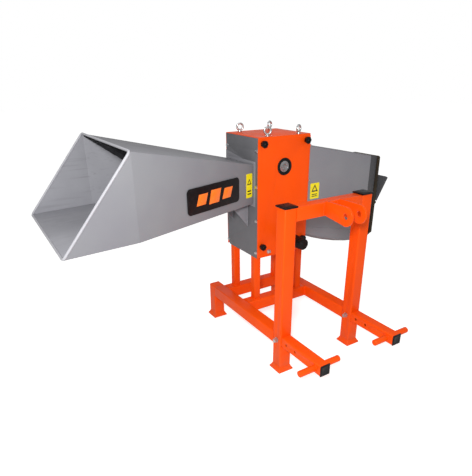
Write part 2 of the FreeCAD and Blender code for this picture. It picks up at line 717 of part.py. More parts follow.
def make_knobs():
    corners = [(side, sign, level, height) for side, sign in SIDES
               for level, height in (("lower", dims.knob_low), ("upper", dims.knob_high))]
    for side, sign, level, height in corners:
        name = "%s_%s_knob" % (level, side)
        at = (sign * dims.knob_side, dims.housing_front - 0.4, height)
        grip = rod(name + "_grip", "knob_dia / 2", "knob_length", at, AHEAD_Y)
        stud = rod(name + "_stud", "4", "20", at, ALONG_Y)
        subpart(fuse(name + "_body", grip, stud), name)


# ---------------------------------------------------------------- rotor and drive
def make_pulley(name, radius, bore, height):
    """Pulley with one belt groove, its axis along Y."""
    at = (0, dims.pulley_front, height)
    rim = rod(name + "_rim", radius, "pulley_width", at, ALONG_Y)
    groove_front = (dims.pulley_width - dims.belt_width - 1) / 2
    groove_at = (0, dims.pulley_front + groove_front, height)
    wide = rod(name + "_wide", radius + " + 1", "belt_width + 1", groove_at, ALONG_Y)
    core = rod(name + "_core", radius + " - belt_thick", "belt_width + 1", groove_at, ALONG_Y)
    groove = cut(name + "_groove", wide, core)
    centre = rod(name + "_centre", bore, "pulley_width", at, ALONG_Y)
    subpart(cut(name + "_grooved", cut(name + "_turned", rim, groove), centre), name)


def make_belt():
    """Closed belt around both pulleys: two arcs joined by their common tangents."""
    clearance = 0.4
    small = dims.rotor_pulley_radius - dims.belt_thick + clearance
    large = dims.drive_pulley_radius - dims.belt_thick + clearance
    span = dims.rotor_height - dims.drive_height
    lean = math.asin((large - small) / span)

    def loop(extra):
        low, high = large + extra, small + extra
        cos, sin = math.cos(lean), math.sin(lean)
        points = [Vector(low * cos, 0, low * sin), Vector(high * cos, 0, span + high * sin),
                  Vector(-high * cos, 0, span + high * sin), Vector(-low * cos, 0, low * sin)]
        edges = [Part.LineSegment(points[0], points[1]).toShape(),
                 Part.Arc(points[1], Vector(0, 0, span + high), points[2]).toShape(),
                 Part.LineSegment(points[2], points[3]).toShape(),
                 Part.Arc(points[3], Vector(0, 0, -low), points[0]).toShape()]
        return Part.Face(Part.Wire(edges))

    band = loop(dims.belt_thick).cut(loop(0)).extrude(Vector(0, dims.belt_width, 0))
    belt = shaped("belt_band", band)
    inset = (dims.pulley_width - dims.belt_width) / 2
    subpart(place(belt, (0, dims.pulley_front + inset, dims.drive_height)), "drive_belt")


def make_drive():
    """Drive shaft with its splined stub, the pulley on it and the cap over the stub."""
    length = CHAMBER_FRONT + 165 - dims.drive_tip
    at = (0, dims.drive_tip, dims.drive_height)
    shaft = rod("drive_bar", "drive_shaft_dia / 2", "%g" % length, at, ALONG_Y)
    splines = []
    for index in range(6):
        turn = ALONG_Y.multiply(Rotation(Vector(0, 0, 1), 60 * index))
        offset = turn.multVec(Vector(dims.drive_shaft_dia / 2 - 2.5, -3, 0))
        spot = (offset.x, dims.drive_tip - 1 + offset.y, dims.drive_height + offset.z)
        splines.append(box("spline_%d" % index, "6", "6", "76", spot, turn))
    subpart(cut("drive_splined", shaft, *splines), "drive_shaft")
    make_pulley("drive_pulley", "drive_pulley_radius", "drive_shaft_dia / 2", dims.drive_height)
    cap_at = (0, dims.cap_front, dims.drive_height)
    skirt = rod("cap_skirt", "cap_dia / 2", "cap_length", cap_at, ALONG_Y)
    hollow_at = (0, dims.drive_tip - 2, dims.drive_height)
    hollow = rod("cap_hollow", "drive_shaft_dia / 2 + 0.4", "cap_length", hollow_at, ALONG_Y)
    subpart(cut("stub_cap", skirt, hollow), "drive_cap")
    make_pulley("rotor_pulley", "rotor_pulley_radius", "rotor_shaft_dia / 2", dims.rotor_height)


ROTOR_DISCS = (CHAMBER_FRONT + 32, (CHAMBER_FRONT + CHAMBER_REAR - dims.disc_thick) / 2,
               CHAMBER_REAR - 32 - dims.disc_thick)


def make_rotor():
    """Shaft, three discs, two knife bars and two rods with hammers that swing freely."""
    start = dims.pulley_front - 4
    axis_height = dims.rotor_height
    shaft = rod("rotor_bar", "rotor_shaft_dia / 2", "%g" % (CHAMBER_REAR - 1 - start),
                (0, start, axis_height), ALONG_Y)
    hub = rod("rotor_hub", "rotor_shaft_dia / 2 + 6", "3.5", (0, start, axis_height), ALONG_Y)
    subpart(fuse("rotor_spindle", shaft, hub), "rotor_shaft")
    knife_from = ROTOR_DISCS[0] - 6
    knife_length = ROTOR_DISCS[2] + dims.disc_thick + 6 - knife_from
    knives = []
    for side, sign in SIDES:
        inner = dims.disc_radius - 18
        low = sign * inner if sign > 0 else -dims.rotor_sweep
        knives.append(box(side + "_knife", "rotor_sweep - disc_radius + 18", "%g" % knife_length, "14",
                          (low, knife_from, axis_height - 7)))
    subpart(group("knife_pair", knives), "knife_bars")
    discs = []
    for index, front in enumerate(ROTOR_DISCS):
        at = (0, front, axis_height)
        blank = rod("disc_blank_%d" % index, "disc_radius", "disc_thick", at, ALONG_Y)
        tools = [rod("disc_bore_%d" % index, "rotor_shaft_dia / 2", "disc_thick", at, ALONG_Y)]
        for sign in (-1, 1):
            hole = (0, front, axis_height + sign * dims.rod_circle)
            name = "disc_rod_%d_%d" % (index, sign + 1)
            tools.append(rod(name, "rod_dia / 2", "disc_thick", hole, ALONG_Y))
            low = dims.disc_radius - 18 if sign > 0 else -dims.disc_radius
            tools.append(box("disc_notch_%d_%d" % (index, sign + 1), "18", "disc_thick", "14",
                             (low, front, axis_height - 7)))
        discs.append(cut("disc_%d" % index, blank, *tools))
    subpart(group("disc_set", discs), "rotor_discs")
    rods = []
    for index, sign in enumerate((-1, 1)):
        at = (0, ROTOR_DISCS[0] - 5, axis_height + sign * dims.rod_circle)
        length = ROTOR_DISCS[2] + dims.disc_thick + 10 - ROTOR_DISCS[0]
        rods.append(rod("hammer_rod_%d" % index, "rod_dia / 2", "%g" % length, at, ALONG_Y))
    subpart(group("rod_pair", rods), "hammer_rods")
    for level, sign in (("lower", -1), ("upper", 1)):
        hammers = []
        for gap in range(2):
            middle = (ROTOR_DISCS[gap] + dims.disc_thick + ROTOR_DISCS[gap + 1]) / 2
            for step in (-1, 1):
                front = middle + step * 16 - 4
                name = "%s_hammer_%d_%d" % (level, gap, step + 1)
                pivot = axis_height + sign * dims.rod_circle
                reach = dims.rotor_sweep - dims.rod_circle
                eye = rod(name + "_eye", "rod_dia", "8", (0, front, pivot), ALONG_Y)
                low = pivot if sign > 0 else pivot - reach
                blade = box(name + "_blade", "rod_dia * 2", "8", "%g" % reach, (-dims.rod_dia, front, low))
                bore = rod(name + "_bore", "rod_dia / 2 + 0.08", "8", (0, front, pivot), ALONG_Y)
                hammers.append(cut(name, fuse(name + "_bar", eye, blade), bore))
        subpart(group(level + "_hammer_set", hammers), level + "_hammers")


# ---------------------------------------------------------------- infeed hopper
def make_hopper():
    """Four tapered walls from the throat to the crease, cheeks and a floor out to the lip, rim and baffle."""
    thick = dims.hopper_sheet
    near = -HALF_WIDTH - dims.side_sheet
    crease, lip = -dims.crease_reach, -dims.lip_reach
    run = near - crease
    grow = {
        "front": dims.throat_front - dims.mouth_front,
        "rear": dims.mouth_rear - dims.throat_rear,
        "low": dims.throat_low - dims.crease_low,
        "high": dims.crease_high - dims.throat_high,
    }
    inset = {key: thick * math.hypot(run, value) / run for key, value in grow.items()}

    def ring(x, front, rear, low, high, shrink):
        front += inset["front"] * shrink
        rear -= inset["rear"] * shrink
        low += inset["low"] * shrink
        high -= inset["high"] * shrink
        return {"fl": (x, front, low), "rl": (x, rear, low), "rh": (x, rear, high), "fh": (x, front, high)}

    throat = (near, dims.throat_front, dims.throat_rear, dims.throat_low, dims.throat_high)
    mouth = (crease, dims.mouth_front, dims.mouth_rear, dims.crease_low, dims.crease_high)
    small_out, small_in = ring(*throat, 0), ring(*throat, 1)
    large_out, large_in = ring(*mouth, 0), ring(*mouth, 1)

    def wall(first, second):
        return slab([small_out[first], large_out[first], large_out[second], small_out[second]],
                    [small_in[first], large_in[first], large_in[second], small_in[second]])

    floor_top = dims.crease_low + inset["low"]
    for name, first, second, edge, push in (("front", "fl", "fh", dims.mouth_front, thick),
                                            ("rear", "rl", "rh", dims.mouth_rear, -thick)):
        cheek = prism([(crease, edge, dims.crease_low), (crease, edge, dims.crease_high),
                       (lip, edge, dims.lip_low)], (0, push, 0))
        panel = wall(first, second).fuse(cheek).removeSplitter()
        subpart(shaped(name + "_wall", panel), "hopper_%s_panel" % name)
    inner_front, inner_rear = dims.mouth_front + thick, dims.mouth_rear - thick
    ledge = prism([(crease, inner_front, dims.crease_low), (lip, inner_front, dims.lip_low),
                   (lip + 2.6, inner_front, dims.lip_low + thick), (crease, inner_front, floor_top)],
                  (0, inner_rear - inner_front, 0))
    subpart(shaped("floor_wall", wall("fl", "rl").fuse(ledge).removeSplitter()), "hopper_floor")
    subpart(shaped("top_wall", wall("fh", "rh")), "hopper_top_panel")

    def inner_sides(x):
        part_way = (near - x) / run
        return (dims.throat_front + inset["front"] - grow["front"] * part_way,
                dims.throat_rear - inset["rear"] + grow["rear"] * part_way)

    upper = []
    for x, z in ((-dims.baffle_start, dims.baffle_top), (-dims.baffle_end, dims.baffle_foot)):
        low_y, high_y = inner_sides(x)
        upper.append([(x, low_y, z), (x, high_y, z)])
    ring_up = [upper[0][0], upper[1][0], upper[1][1], upper[0][1]]
    baffle = slab(ring_up, [(x, y, z - thick * 1.25) for x, y, z in ring_up])
    subpart(shaped("baffle_sheet", baffle), "infeed_baffle")
    rise, reach = dims.crease_high - dims.lip_low, dims.lip_reach - dims.crease_reach
    slope = math.degrees(math.atan2(rise, reach))
    overhang = 3
    frame_length = math.hypot(rise, reach) + 2 * overhang
    width = dims.mouth_rear - dims.mouth_front + 2 * overhang
    outer = Part.makeBox(frame_length, width, dims.rim_thick)
    hole = Part.makeBox(frame_length - 2 * dims.rim_width, width - 2 * dims.rim_width, dims.rim_thick,
                        Vector(dims.rim_width, dims.rim_width, 0))
    rim = shaped("rim_frame", outer.cut(hole))
    turn = Rotation(Vector(0, 1, 0), -slope)
    corner = Vector(lip, dims.mouth_front - overhang, dims.lip_low) - turn.multVec(Vector(overhang, 0, 0))
    place(rim, (corner.x, corner.y, corner.z), turn)
    subpart(rim, "mouth_rim")


def make_throat_flange():
    """Frame around the throat on the side plate, the gussets under the hopper and a flat stiffener."""
    near = -HALF_WIDTH - dims.side_sheet
    border = 14
    outer = rectangle(dims.throat_front - border, dims.throat_low - border,
                      dims.throat_rear + border, dims.throat_high + border)
    sheet_in = dims.hopper_sheet + 0.3
    inner = rectangle(dims.throat_front + sheet_in, dims.throat_low + sheet_in,
                      dims.throat_rear - sheet_in, dims.throat_high - sheet_in)
    frame = place(plate("throat_frame", "YZ_Plane", outer, "side_sheet", windows=[inner]), (near, 0, 0))
    pieces = [frame]
    below, above = dims.throat_low - 1.5, dims.throat_high + border
    drop, reach = 124, 101
    for row, across in enumerate((dims.throat_front + 46, dims.throat_rear - 46)):
        corners = [(near, across, below), (near, across, below - drop), (near - reach, across, below)]
        pieces.append(shaped("gusset_%d" % row, prism(corners, (0, 4, 0))))
    far = dims.throat_rear + 13
    stiffener = [(near, far - 158, above), (near, far, above), (near, far, above + 27)]
    pieces.append(shaped("stiffener", prism(stiffener, (dims.side_sheet, 0, 0))))
    subpart(group("throat_set", pieces), "throat_flange")


def make_badge():
    """Blank rounded plate on the hopper's front wall."""
    lean = math.degrees(math.atan2(dims.throat_front - dims.mouth_front,
                                   dims.crease_reach - HALF_WIDTH - dims.side_sheet))
    body = new_body("badge_blank")
    outline = new_sketch(body, "badge_outline", "XZ_Plane")
    sketch_rectangle(outline, "badge_length", "badge_tall")
    solid = pad(body, outline, "badge_thick")
    round_edges(body, solid, Vector(0, 1, 0), "badge_tall * 0.16")
    turn = Rotation(Vector(0, 0, 1), lean)
    back = turn.multVec(Vector(-dims.badge_along, 0, 0))
    place(body, (-HALF_WIDTH + back.x, dims.throat_front + back.y - 1.4, dims.badge_height), turn)
    subpart(body, "badge_plate")


# ---------------------------------------------------------------- discharge chute
def chute_sides(reach):
    """Front and rear faces of the chute at a distance from the machine's middle."""
    turned = 0.0
    if reach > dims.chute_bend:
        turned = dims.chute_turn * (reach - dims.chute_bend) / (dims.chute_end - dims.chute_bend)
    return dims.chute_front + turned, dims.chute_rear - turned


def seam_height(reach):
    """Height where the flat side wall meets the rolled underside."""
    grown = min(1.0, (reach - HALF_WIDTH) / 150.0)
    return belly_height(reach) + 52 + 26 * grown


CHUTE_STATIONS = (HALF_WIDTH, 230, 304, 390, 476, dims.chute_bend, dims.chute_end)


def make_chute_walls():
    thick = dims.chute_sheet
    stations = CHUTE_STATIONS[:-1]
    top = thick + 0.1
    for name, face, push in (("front", dims.chute_front, thick), ("rear", dims.chute_rear, -thick)):
        lower = [(reach, face, seam_height(reach)) for reach in stations]
        upper = [(dims.chute_bend, face, dims.chute_bend_high - top),
                 (HALF_WIDTH, face, dims.chute_root_high - top)]
        flat = prism(lower + upper, (0, push, 0))
        index = 0 if name == "front" else 1
        near = chute_sides(dims.chute_bend)[index]
        far = chute_sides(dims.chute_end)[index]
        outer = [(dims.chute_bend, near, seam_height(dims.chute_bend)),
                 (dims.chute_end, far, seam_height(dims.chute_end)),
                 (dims.chute_end, far, dims.chute_end_high - top),
                 (dims.chute_bend, near, dims.chute_bend_high - top)]
        inner = [(x, y + push, z) for x, y, z in outer]
        whole = flat.fuse(slab(outer, inner)).removeSplitter()
        subpart(shaped(name + "_sheet", whole), "chute_%s_panel" % name)


def make_chute_top():
    """Sloping roof sheet, which narrows past the bend."""
    thick = dims.chute_sheet
    profile = ((HALF_WIDTH, dims.chute_root_high), (dims.chute_bend, dims.chute_bend_high),
               (dims.chute_end, dims.chute_end_high))
    sheets = []
    for (near, near_top), (far, far_top) in zip(profile, profile[1:]):
        near_front, near_rear = chute_sides(near)
        far_front, far_rear = chute_sides(far)
        upper = [(near, near_front, near_top), (far, far_front, far_top),
                 (far, far_rear, far_top), (near, near_rear, near_top)]
        sheets.append(slab(upper, [(x, y, z - thick) for x, y, z in upper]))
    subpart(shaped("roof_sheet", sheets[0].fuse(sheets[1]).removeSplitter()), "chute_top_panel")


def make_chute_belly():
    """Rolled underside as a channel, its closed lower end, and the flap's hinge pin on two lugs."""
    thick, roll = dims.chute_sheet, dims.belly_roll
    wires = []
    for reach in CHUTE_STATIONS:
        front, rear = chute_sides(reach)
        low, seam = belly_height(reach), seam_height(reach) - 0.2
        knee, lift = roll * 0.25, low + 16
        ring = [(front, seam), (front + knee, lift), (front + roll, low), (rear - roll, low),
                (rear - knee, lift), (rear, seam)]
        lift += thick * 0.6
        inner = [(rear - thick, seam), (rear - knee - thick, lift),
                 (rear - roll - thick * 0.4, low + thick), (front + roll + thick * 0.4, low + thick),
                 (front + knee + thick, lift), (front + thick, seam)]
        points = [Vector(reach, across, upward) for across, upward in ring + inner]
        wires.append(Part.makePolygon(points + [points[0]]))
    channel = Part.makeLoft(wires, True, True)
    front, rear = chute_sides(dims.chute_end)
    sill_low = belly_height(dims.chute_end) + thick + 1
    seam = seam_height(dims.chute_end)
    outline = [(front + roll, sill_low), (rear - roll, sill_low), (rear - 4, seam),
               (rear - 4, dims.sill_high), (front + 4, dims.sill_high), (front + 4, seam)]
    sill = prism([(dims.chute_end - thick, y, z) for y, z in outline], (thick, 0, 0))
    pieces = [shaped("belly_channel", channel), shaped("belly_sill", sill)]
    subpart(group("belly_set", pieces), "chute_belly")


HINGE_X = dims.chute_end + dims.rim_depth + 10
FLAP_INSET = 12


def make_outlet_rim():
    """Thick edging around the outlet, with the lugs and pin of the flap's hinge."""
    front, rear = chute_sides(dims.chute_end)
    low, high = belly_height(dims.chute_end), dims.chute_end_high
    border, inside = 4, 8
    start = dims.chute_end + 0.2
    roll = dims.belly_roll
    outer = [(front + roll - 2, low - border), (rear - roll + 2, low - border),
             (rear + border, low + roll), (rear + border, high - 6), (rear - 4, high + 1),
             (front + 4, high + 1), (front - border, high - 6), (front - border, low + roll)]
    inner = [(front + roll, low + inside), (rear - roll, low + inside),
             (rear - inside, low + roll + inside), (rear - inside, high - inside),
             (front + inside, high - inside), (front + inside, low + roll + inside)]
    depth = (dims.rim_depth, 0, 0)
    solid, opening = (prism([(start, y, z) for y, z in ring], depth) for ring in (outer, inner))
    edging = shaped("edging", solid.cut(opening))
    pin_height = dims.sill_high
    lugs = []
    for name, across in (("front", front + FLAP_INSET - 10), ("rear", rear - FLAP_INSET + 4)):
        root = start + dims.rim_depth
        lug = prism([(root, across, pin_height - 14), (HINGE_X, across, pin_height - 9),
                     (HINGE_X + 9, across, pin_height), (HINGE_X, across, pin_height + 9),
                     (root, across, pin_height + 14)], (0, 6, 0))
        lugs.append(shaped(name + "_lug", lug))
    pin = rod("flap_pin", "flap_pin_dia / 2", "%g" % (rear - front - 2 * FLAP_INSET + 20),
              (HINGE_X, front + FLAP_INSET - 10, pin_height), ALONG_Y)
    subpart(group("outlet_set", [edging, fuse("flap_hinge", lugs[0], lugs[1], pin)]), "outlet_rim")


def make_flap():
    """Deflector flap: barrel on the hinge pin, plate and two folded sides."""
    front, rear = chute_sides(dims.chute_end)
    front += FLAP_INSET
    rear -= FLAP_INSET
    width = rear - front
    at = (HINGE_X, front, dims.sill_high)
    barrel = rod("flap_barrel", "flap_pin_dia / 2 + 4", "%g" % width, at, ALONG_Y)
    bore = rod("flap_bore", "flap_pin_dia / 2 + 0.08", "%g" % width, at, ALONG_Y)
    length = math.hypot(dims.flap_reach, dims.flap_rise)
    lean = Rotation(Vector(0, 1, 0), math.degrees(math.atan2(dims.flap_reach, dims.flap_rise)))
    leaf = box("flap_leaf", "4", "%g" % width, "%g" % length, at, lean)
    pieces = [barrel, leaf]
    for index, across in enumerate((front, rear - 4)):
        spot = Vector(HINGE_X, across, dims.sill_high) + lean.multVec(Vector(0, 0, 14))
        pieces.append(box("flap_side_%d" % index, "16", "4", "%g" % (length - 14),
                          (spot.x, spot.y, spot.z), lean))
    subpart(cut("flap_body", fuse("flap_pieces", *pieces), bore), "deflector_flap")


# ---------------------------------------------------------------- document
def offset_housing(first):
    """Shift the sub-parts made from a given one on sideways, off the hitch frame's middle."""
    aside = Placement(Vector(dims.housing_offset, 0, 0), Rotation())
    for item in subparts[first:]:
        item.Placement = aside.multiply(item.Placement)


def settle():
    """Move every sub-part so that the origin is the middle of the bounding box's bottom face."""
    whole = FreeCAD.BoundBox()
    for item in subparts:
        whole.add(item.Shape.BoundBox)
    shift = Vector(-whole.Center.x, -whole.Center.y, -whole.ZMin)
    for item in subparts:
        item.Placement = Placement(shift, Rotation()).multiply(item.Placement)
    doc.recompute()
    print("size %.1f x %.1f x %.1f" % (whole.XLength, whole.YLength, whole.ZLength))
    print("shift %.3f %.3f %.3f" % (shift.x, shift.y, shift.z))


def check():
    """Stop if any object failed to build or any sub-part has no valid solid."""
    for item in doc.Objects:
        if "Invalid" in item.State or "Error" in item.State:
            raise RuntimeError("object %s failed: %s" % (item.Label, item.State))
    for item in subparts:
        if item.Shape.isNull() or not item.Shape.isValid() or not item.Shape.Solids:
            raise RuntimeError("sub-part %s has no valid shape" % item.Label)


def export():
    os.makedirs("parts", exist_ok=True)
    for item in subparts:
        item.Shape.exportStep("parts/%s.step" % item.Label)
    print("%d sub-parts written" % len(subparts))


for make in (make_uprights, make_rails, make_rear_legs, make_feet, make_crossmembers, make_ears,
             make_upright_caps, make_lock_bolts, make_hitch_arms):
    make()
frame_count = len(subparts)
for make in (make_posts, make_side_plates, make_shell, make_bearing_plate, make_bearings, make_chip_ramp,
             make_counter_knife, make_screen, make_housing_bolts, make_lifting_eyes,
             make_cover, make_knobs, make_belt, make_drive, make_rotor,
             make_hopper, make_throat_flange, make_badge,
             make_chute_walls, make_chute_top, make_chute_belly, make_outlet_rim, make_flap):
    make()
offset_housing(frame_count)
doc.recompute()
check()
settle()
check()
export()
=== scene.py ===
"""Looks of a tractor wood chipper: painted frame, sheet-metal hopper and chute, fittings and finishes."""
import logging
import math
from dataclasses import dataclass, field
from enum import Enum
from typing import Callable, Iterable, Optional

import bpy
from mathutils import Euler, Matrix, Vector


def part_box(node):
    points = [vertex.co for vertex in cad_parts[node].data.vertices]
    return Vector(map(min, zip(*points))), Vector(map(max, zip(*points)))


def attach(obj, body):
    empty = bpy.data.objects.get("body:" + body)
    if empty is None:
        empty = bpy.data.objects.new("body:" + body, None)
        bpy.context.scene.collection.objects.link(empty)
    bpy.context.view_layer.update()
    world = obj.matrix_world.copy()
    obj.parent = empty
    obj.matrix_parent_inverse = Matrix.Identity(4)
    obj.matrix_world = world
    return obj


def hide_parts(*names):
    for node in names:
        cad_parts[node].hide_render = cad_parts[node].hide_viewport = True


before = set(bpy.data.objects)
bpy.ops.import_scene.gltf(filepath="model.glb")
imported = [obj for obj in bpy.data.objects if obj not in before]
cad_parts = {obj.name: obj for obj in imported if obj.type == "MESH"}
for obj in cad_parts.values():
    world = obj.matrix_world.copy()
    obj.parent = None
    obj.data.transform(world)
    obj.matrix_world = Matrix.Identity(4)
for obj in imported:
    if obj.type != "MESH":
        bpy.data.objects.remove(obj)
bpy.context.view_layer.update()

LOG = logging.getLogger("chipper")
MM = 0.001
# points closer than this count as one
TOUCH = 0.01 * MM
SIDES = ("left", "right")
STEEL_COLOURS = ("#B9BABC", "#6B5F55")
LEFT, RIGHT = Vector((-1, 0, 0)), Vector((1, 0, 0))
FRONT, BACK = Vector((0, -1, 0)), Vector((0, 1, 0))
UP = Vector((0, 0, 1))
Point = tuple[float, float, float]
Seam = tuple[Vector, Vector]
Steps = tuple[tuple[float, float], ...]
Piece, Tree, Socket = bpy.types.Object, bpy.types.NodeTree, bpy.types.NodeSocket


# ---- colours and nodes
def linear(hex_colour: str) -> tuple[float, float, float, float]:
    """Turn an sRGB hex colour to linear light.

    Args:
        hex_colour: Six hex digits, with or without a leading hash.

    Returns:
        Red, green, blue and an alpha of one.
    """
    digits = hex_colour.lstrip("#")
    parts = [int(digits[start:start + 2], 16) / 255 for start in (0, 2, 4)]
    low = [part / 12.92 if part <= 0.04045 else ((part + 0.055) / 1.055) ** 2.4 for part in parts]
    return low[0], low[1], low[2], 1.0


def add_node(tree: Tree, kind: str, settings: Optional[dict] = None,
             links: Optional[dict] = None) -> bpy.types.Node:
    """Add one node, set its values and link its inputs.

    Args:
        tree: The material's or world's node tree.
        kind: The node's type name.
        settings: Values by input name or number, or by property name.
        links: Source sockets by input name or number.

    Returns:
        The new node.
    """
    made = tree.nodes.new(kind)
    for key, value in (settings or {}).items():
        if isinstance(key, int) or key in made.inputs:
            made.inputs[key].default_value = value
        else:
            setattr(made, key, value)
    for key, source in (links or {}).items():
        tree.links.new(source, made.inputs[key])
    return made


def blank_material(name: str) -> tuple[bpy.types.Material, Tree]:
    """Make an empty node material.

    Args:
        name: The material's name.

    Returns:
        The material and its node tree.
    """
    material = bpy.data.materials.new(name)
    material.use_nodes = True
    material.node_tree.nodes.clear()
    return material, material.node_tree


def finish_surface(tree: Tree, settings: dict, links: dict) -> None:
    """Add the surface shader and the output of a material.

    Args:
        tree: The material's node tree.
        settings: Values set on the shader's own sockets.
        links: Sockets that drive the shader.
    """
    shader = add_node(tree, "ShaderNodeBsdfPrincipled", settings, links)
    add_node(tree, "ShaderNodeOutputMaterial", None, {"Surface": shader.outputs[0]})


def grain(tree: Tree, size_mm: float, stretch: Point = (1, 1, 1), detail: float = 2.0) -> Socket:
    """Noise with features of a real size, read from object coordinates.

    Args:
        tree: The material's node tree.
        size_mm: Feature size in millimetres.
        stretch: How many times longer the features are along each axis.
        detail: The noise's detail.

    Returns:
        The noise's value socket.
    """
    place = add_node(tree, "ShaderNodeTexCoord")
    scale = tuple(1.0 / each for each in stretch)
    mapped = add_node(tree, "ShaderNodeMapping", {"Scale": scale}, {"Vector": place.outputs["Object"]})
    noise = add_node(tree, "ShaderNodeTexNoise", {"Scale": 1000.0 / size_mm, "Detail": detail},
                     {"Vector": mapped.outputs[0]})
    return noise.outputs[0]


def ranged(tree: Tree, value: Socket, low: float, high: float,
           out_low: float, out_high: float) -> Socket:
    """Map a value from one range to another, held at the ends."""
    made = add_node(tree, "ShaderNodeMapRange",
                    {"From Min": low, "From Max": high, "To Min": out_low, "To Max": out_high},
                    {"Value": value})
    return made.outputs[0]


def patches(tree: Tree, size_mm: float, detail: float, low: float, high: float, out_low: float = 0.0,
            out_high: float = 1.0) -> Socket:
    """Noise of a real size, with the part of its range that counts mapped to another range."""
    return ranged(tree, grain(tree, size_mm, detail=detail), low, high, out_low, out_high)


def mixed(tree: Tree, factor: Socket, first: object, second: object
          ) -> Socket:
    """Mix two colours, each a hex string or a socket, by a factor socket.

    Args:
        tree: The material's node tree.
        factor: Zero gives the first colour, one the second.
        first: Hex colour or colour socket.
        second: Hex colour or colour socket.

    Returns:
        The mixed colour's socket.
    """
    made = add_node(tree, "ShaderNodeMix", {"data_type": "RGBA"}, {0: factor})
    for index, colour in ((6, first), (7, second)):
        if isinstance(colour, str):
            made.inputs[index].default_value = linear(colour)
        else:
            tree.links.new(colour, made.inputs[index])
    return made.outputs[2]


def bump(tree: Tree, height: Socket, depth_mm: float, strength: float
         ) -> Socket:
    """Turn a height into a surface normal.

    Args:
        tree: The material's node tree.
        height: Height socket, zero to one.
        depth_mm: Real depth of the relief.
        strength: Share of the relief that shows.

    Returns:
        The normal's socket.
    """
    made = add_node(tree, "ShaderNodeBump", {"Distance": depth_mm * MM, "Strength": strength},
                    {"Height": height})
    return made.outputs[0]


# ---- finishes
@dataclass(frozen=True)
class Finish:
    """A material's name, its main colour and its second one; each kind of surface adds its own nodes."""

    name: str
    colour: str
    shade: str

    def surface(self, tree: Tree) -> None:
        """Add the surface's nodes."""
        raise NotImplementedError

    def material(self) -> bpy.types.Material:
        """Build the finish as a node material."""
        made, tree = blank_material(self.name)
        self.surface(tree)
        return made


@dataclass(frozen=True)
class PowderCoat(Finish):
    """Polyester powder coat baked on steel: glossy, with a faint orange peel and dust low down."""

    rough_low: float = 0.30
    rough_high: float = 0.42
    gloss: float = 0.25
    scuffs: float = 0.0
    scuff_colour: str = "#6F6F73"
    dust: str = "#8A7B68"
    dust_top: float = 0.16
    dust_share: float = 0.22
    peel_mm: float = 2.6
    peel_depth_mm: float = 0.25

    def surface(self, tree: Tree) -> None:
        """Add clouded paint, scuffs, dust near the ground and the peel."""
        body = mixed(tree, patches(tree, 180, 3, 0.35, 0.7), self.colour, self.shade)
        if self.scuffs > 0:
            # material dragged towards the rotor leaves long shallow marks along X
            streak = grain(tree, 9, stretch=(28, 1, 1), detail=4)
            body = mixed(tree, ranged(tree, streak, 0.56, 0.72, 0, self.scuffs), body, self.scuff_colour)
        place = add_node(tree, "ShaderNodeTexCoord")
        height = add_node(tree, "ShaderNodeSeparateXYZ", None, {0: place.outputs["Object"]}).outputs[2]
        near_ground = ranged(tree, height, self.dust_top, 0.0, 0, self.dust_share)
        dusty = add_node(tree, "ShaderNodeMath", {"operation": "MULTIPLY"},
                         {0: near_ground, 1: patches(tree, 28, 5, 0.35, 0.75)})
        # the real orange peel is about 1 mm; it is drawn coarser so that it shows
        finish_surface(tree, {"IOR": 1.5, "Specular IOR Level": self.gloss},
                       {"Base Color": mixed(tree, dusty.outputs[0], body, self.dust),
                        "Roughness": patches(tree, 60, 4, 0.3, 0.7, self.rough_low, self.rough_high),
                        "Normal": bump(tree, grain(tree, self.peel_mm, detail=1), self.peel_depth_mm, 0.10)})


@dataclass(frozen=True)
class TurnedSteel(Finish):
    """Bare steel from the lathe: fine tool marks in rings around an axis along Y, and oil stains."""

    centre: Point = (0, 0, 0)
    mark_mm: float = 1.1
    mark_depth_mm: float = 0.08
    rough_low: float = 0.20
    rough_high: float = 0.40

    def surface(self, tree: Tree) -> None:
        """Add stained metal with ring marks."""
        place = add_node(tree, "ShaderNodeTexCoord")
        away = tuple(-each for each in self.centre)
        mapped = add_node(tree, "ShaderNodeMapping", {"Location": away}, {"Vector": place.outputs["Object"]})
        # at scale 1 the rings turn by 20 radians a metre, so one repeats every 6.3 mark sizes
        rings = add_node(tree, "ShaderNodeTexWave",
                         {"wave_type": "RINGS", "rings_direction": "Y", "Scale": 1000.0 / self.mark_mm / 20,
                          "Distortion": 0.4}, {"Vector": mapped.outputs[0]})
        oiled = patches(tree, 22, 4, 0.45, 0.75, 0, 0.55)
        finish_surface(tree, {"Metallic": 1.0},
                       {"Base Color": mixed(tree, oiled, self.colour, self.shade),
                        "Roughness": patches(tree, 6, 3, 0.3, 0.7, self.rough_low, self.rough_high),
                        "Normal": bump(tree, rings.outputs[1], self.mark_depth_mm, 0.25)})


@dataclass(frozen=True)
class Skin(Finish):
    """A surface with blotches of its second colour, an uneven sheen and a fine relief.

    Blotch and sheen each give a size in millimetres, the noise's detail, the part of its range that
    counts, and what that is mapped to. Relief gives size, detail, depth in millimetres and strength.
    """

    blotch: tuple[float, ...]
    sheen: tuple[float, ...]
    relief: tuple[float, ...]
    shader: tuple[tuple[str, float], ...]

    def surface(self, tree: Tree) -> None:
        """Add the blotches, and the sheen and relief where there are any."""
        links = {"Base Color": mixed(tree, patches(tree, *self.blotch), self.colour, self.shade)}
        if self.sheen:
            links["Roughness"] = patches(tree, *self.sheen)
        if self.relief:
            size_mm, detail, depth_mm, strength = self.relief
            links["Normal"] = bump(tree, grain(tree, size_mm, detail=detail), depth_mm, strength)
        finish_surface(tree, dict(self.shader), links)


def vinyl(name: str, colour: str, worn: str) -> Skin:
    """Printed vinyl film: flat colour under a clear skin, a little scuffed."""
    return Skin(name, colour, worn, (5, 6, 0.62, 0.74, 0, 0.5), (20, 3, 0.3, 0.7, 0.26, 0.4), (),
                (("IOR", 1.45), ("Coat Weight", 0.4), ("Coat Roughness", 0.1)))


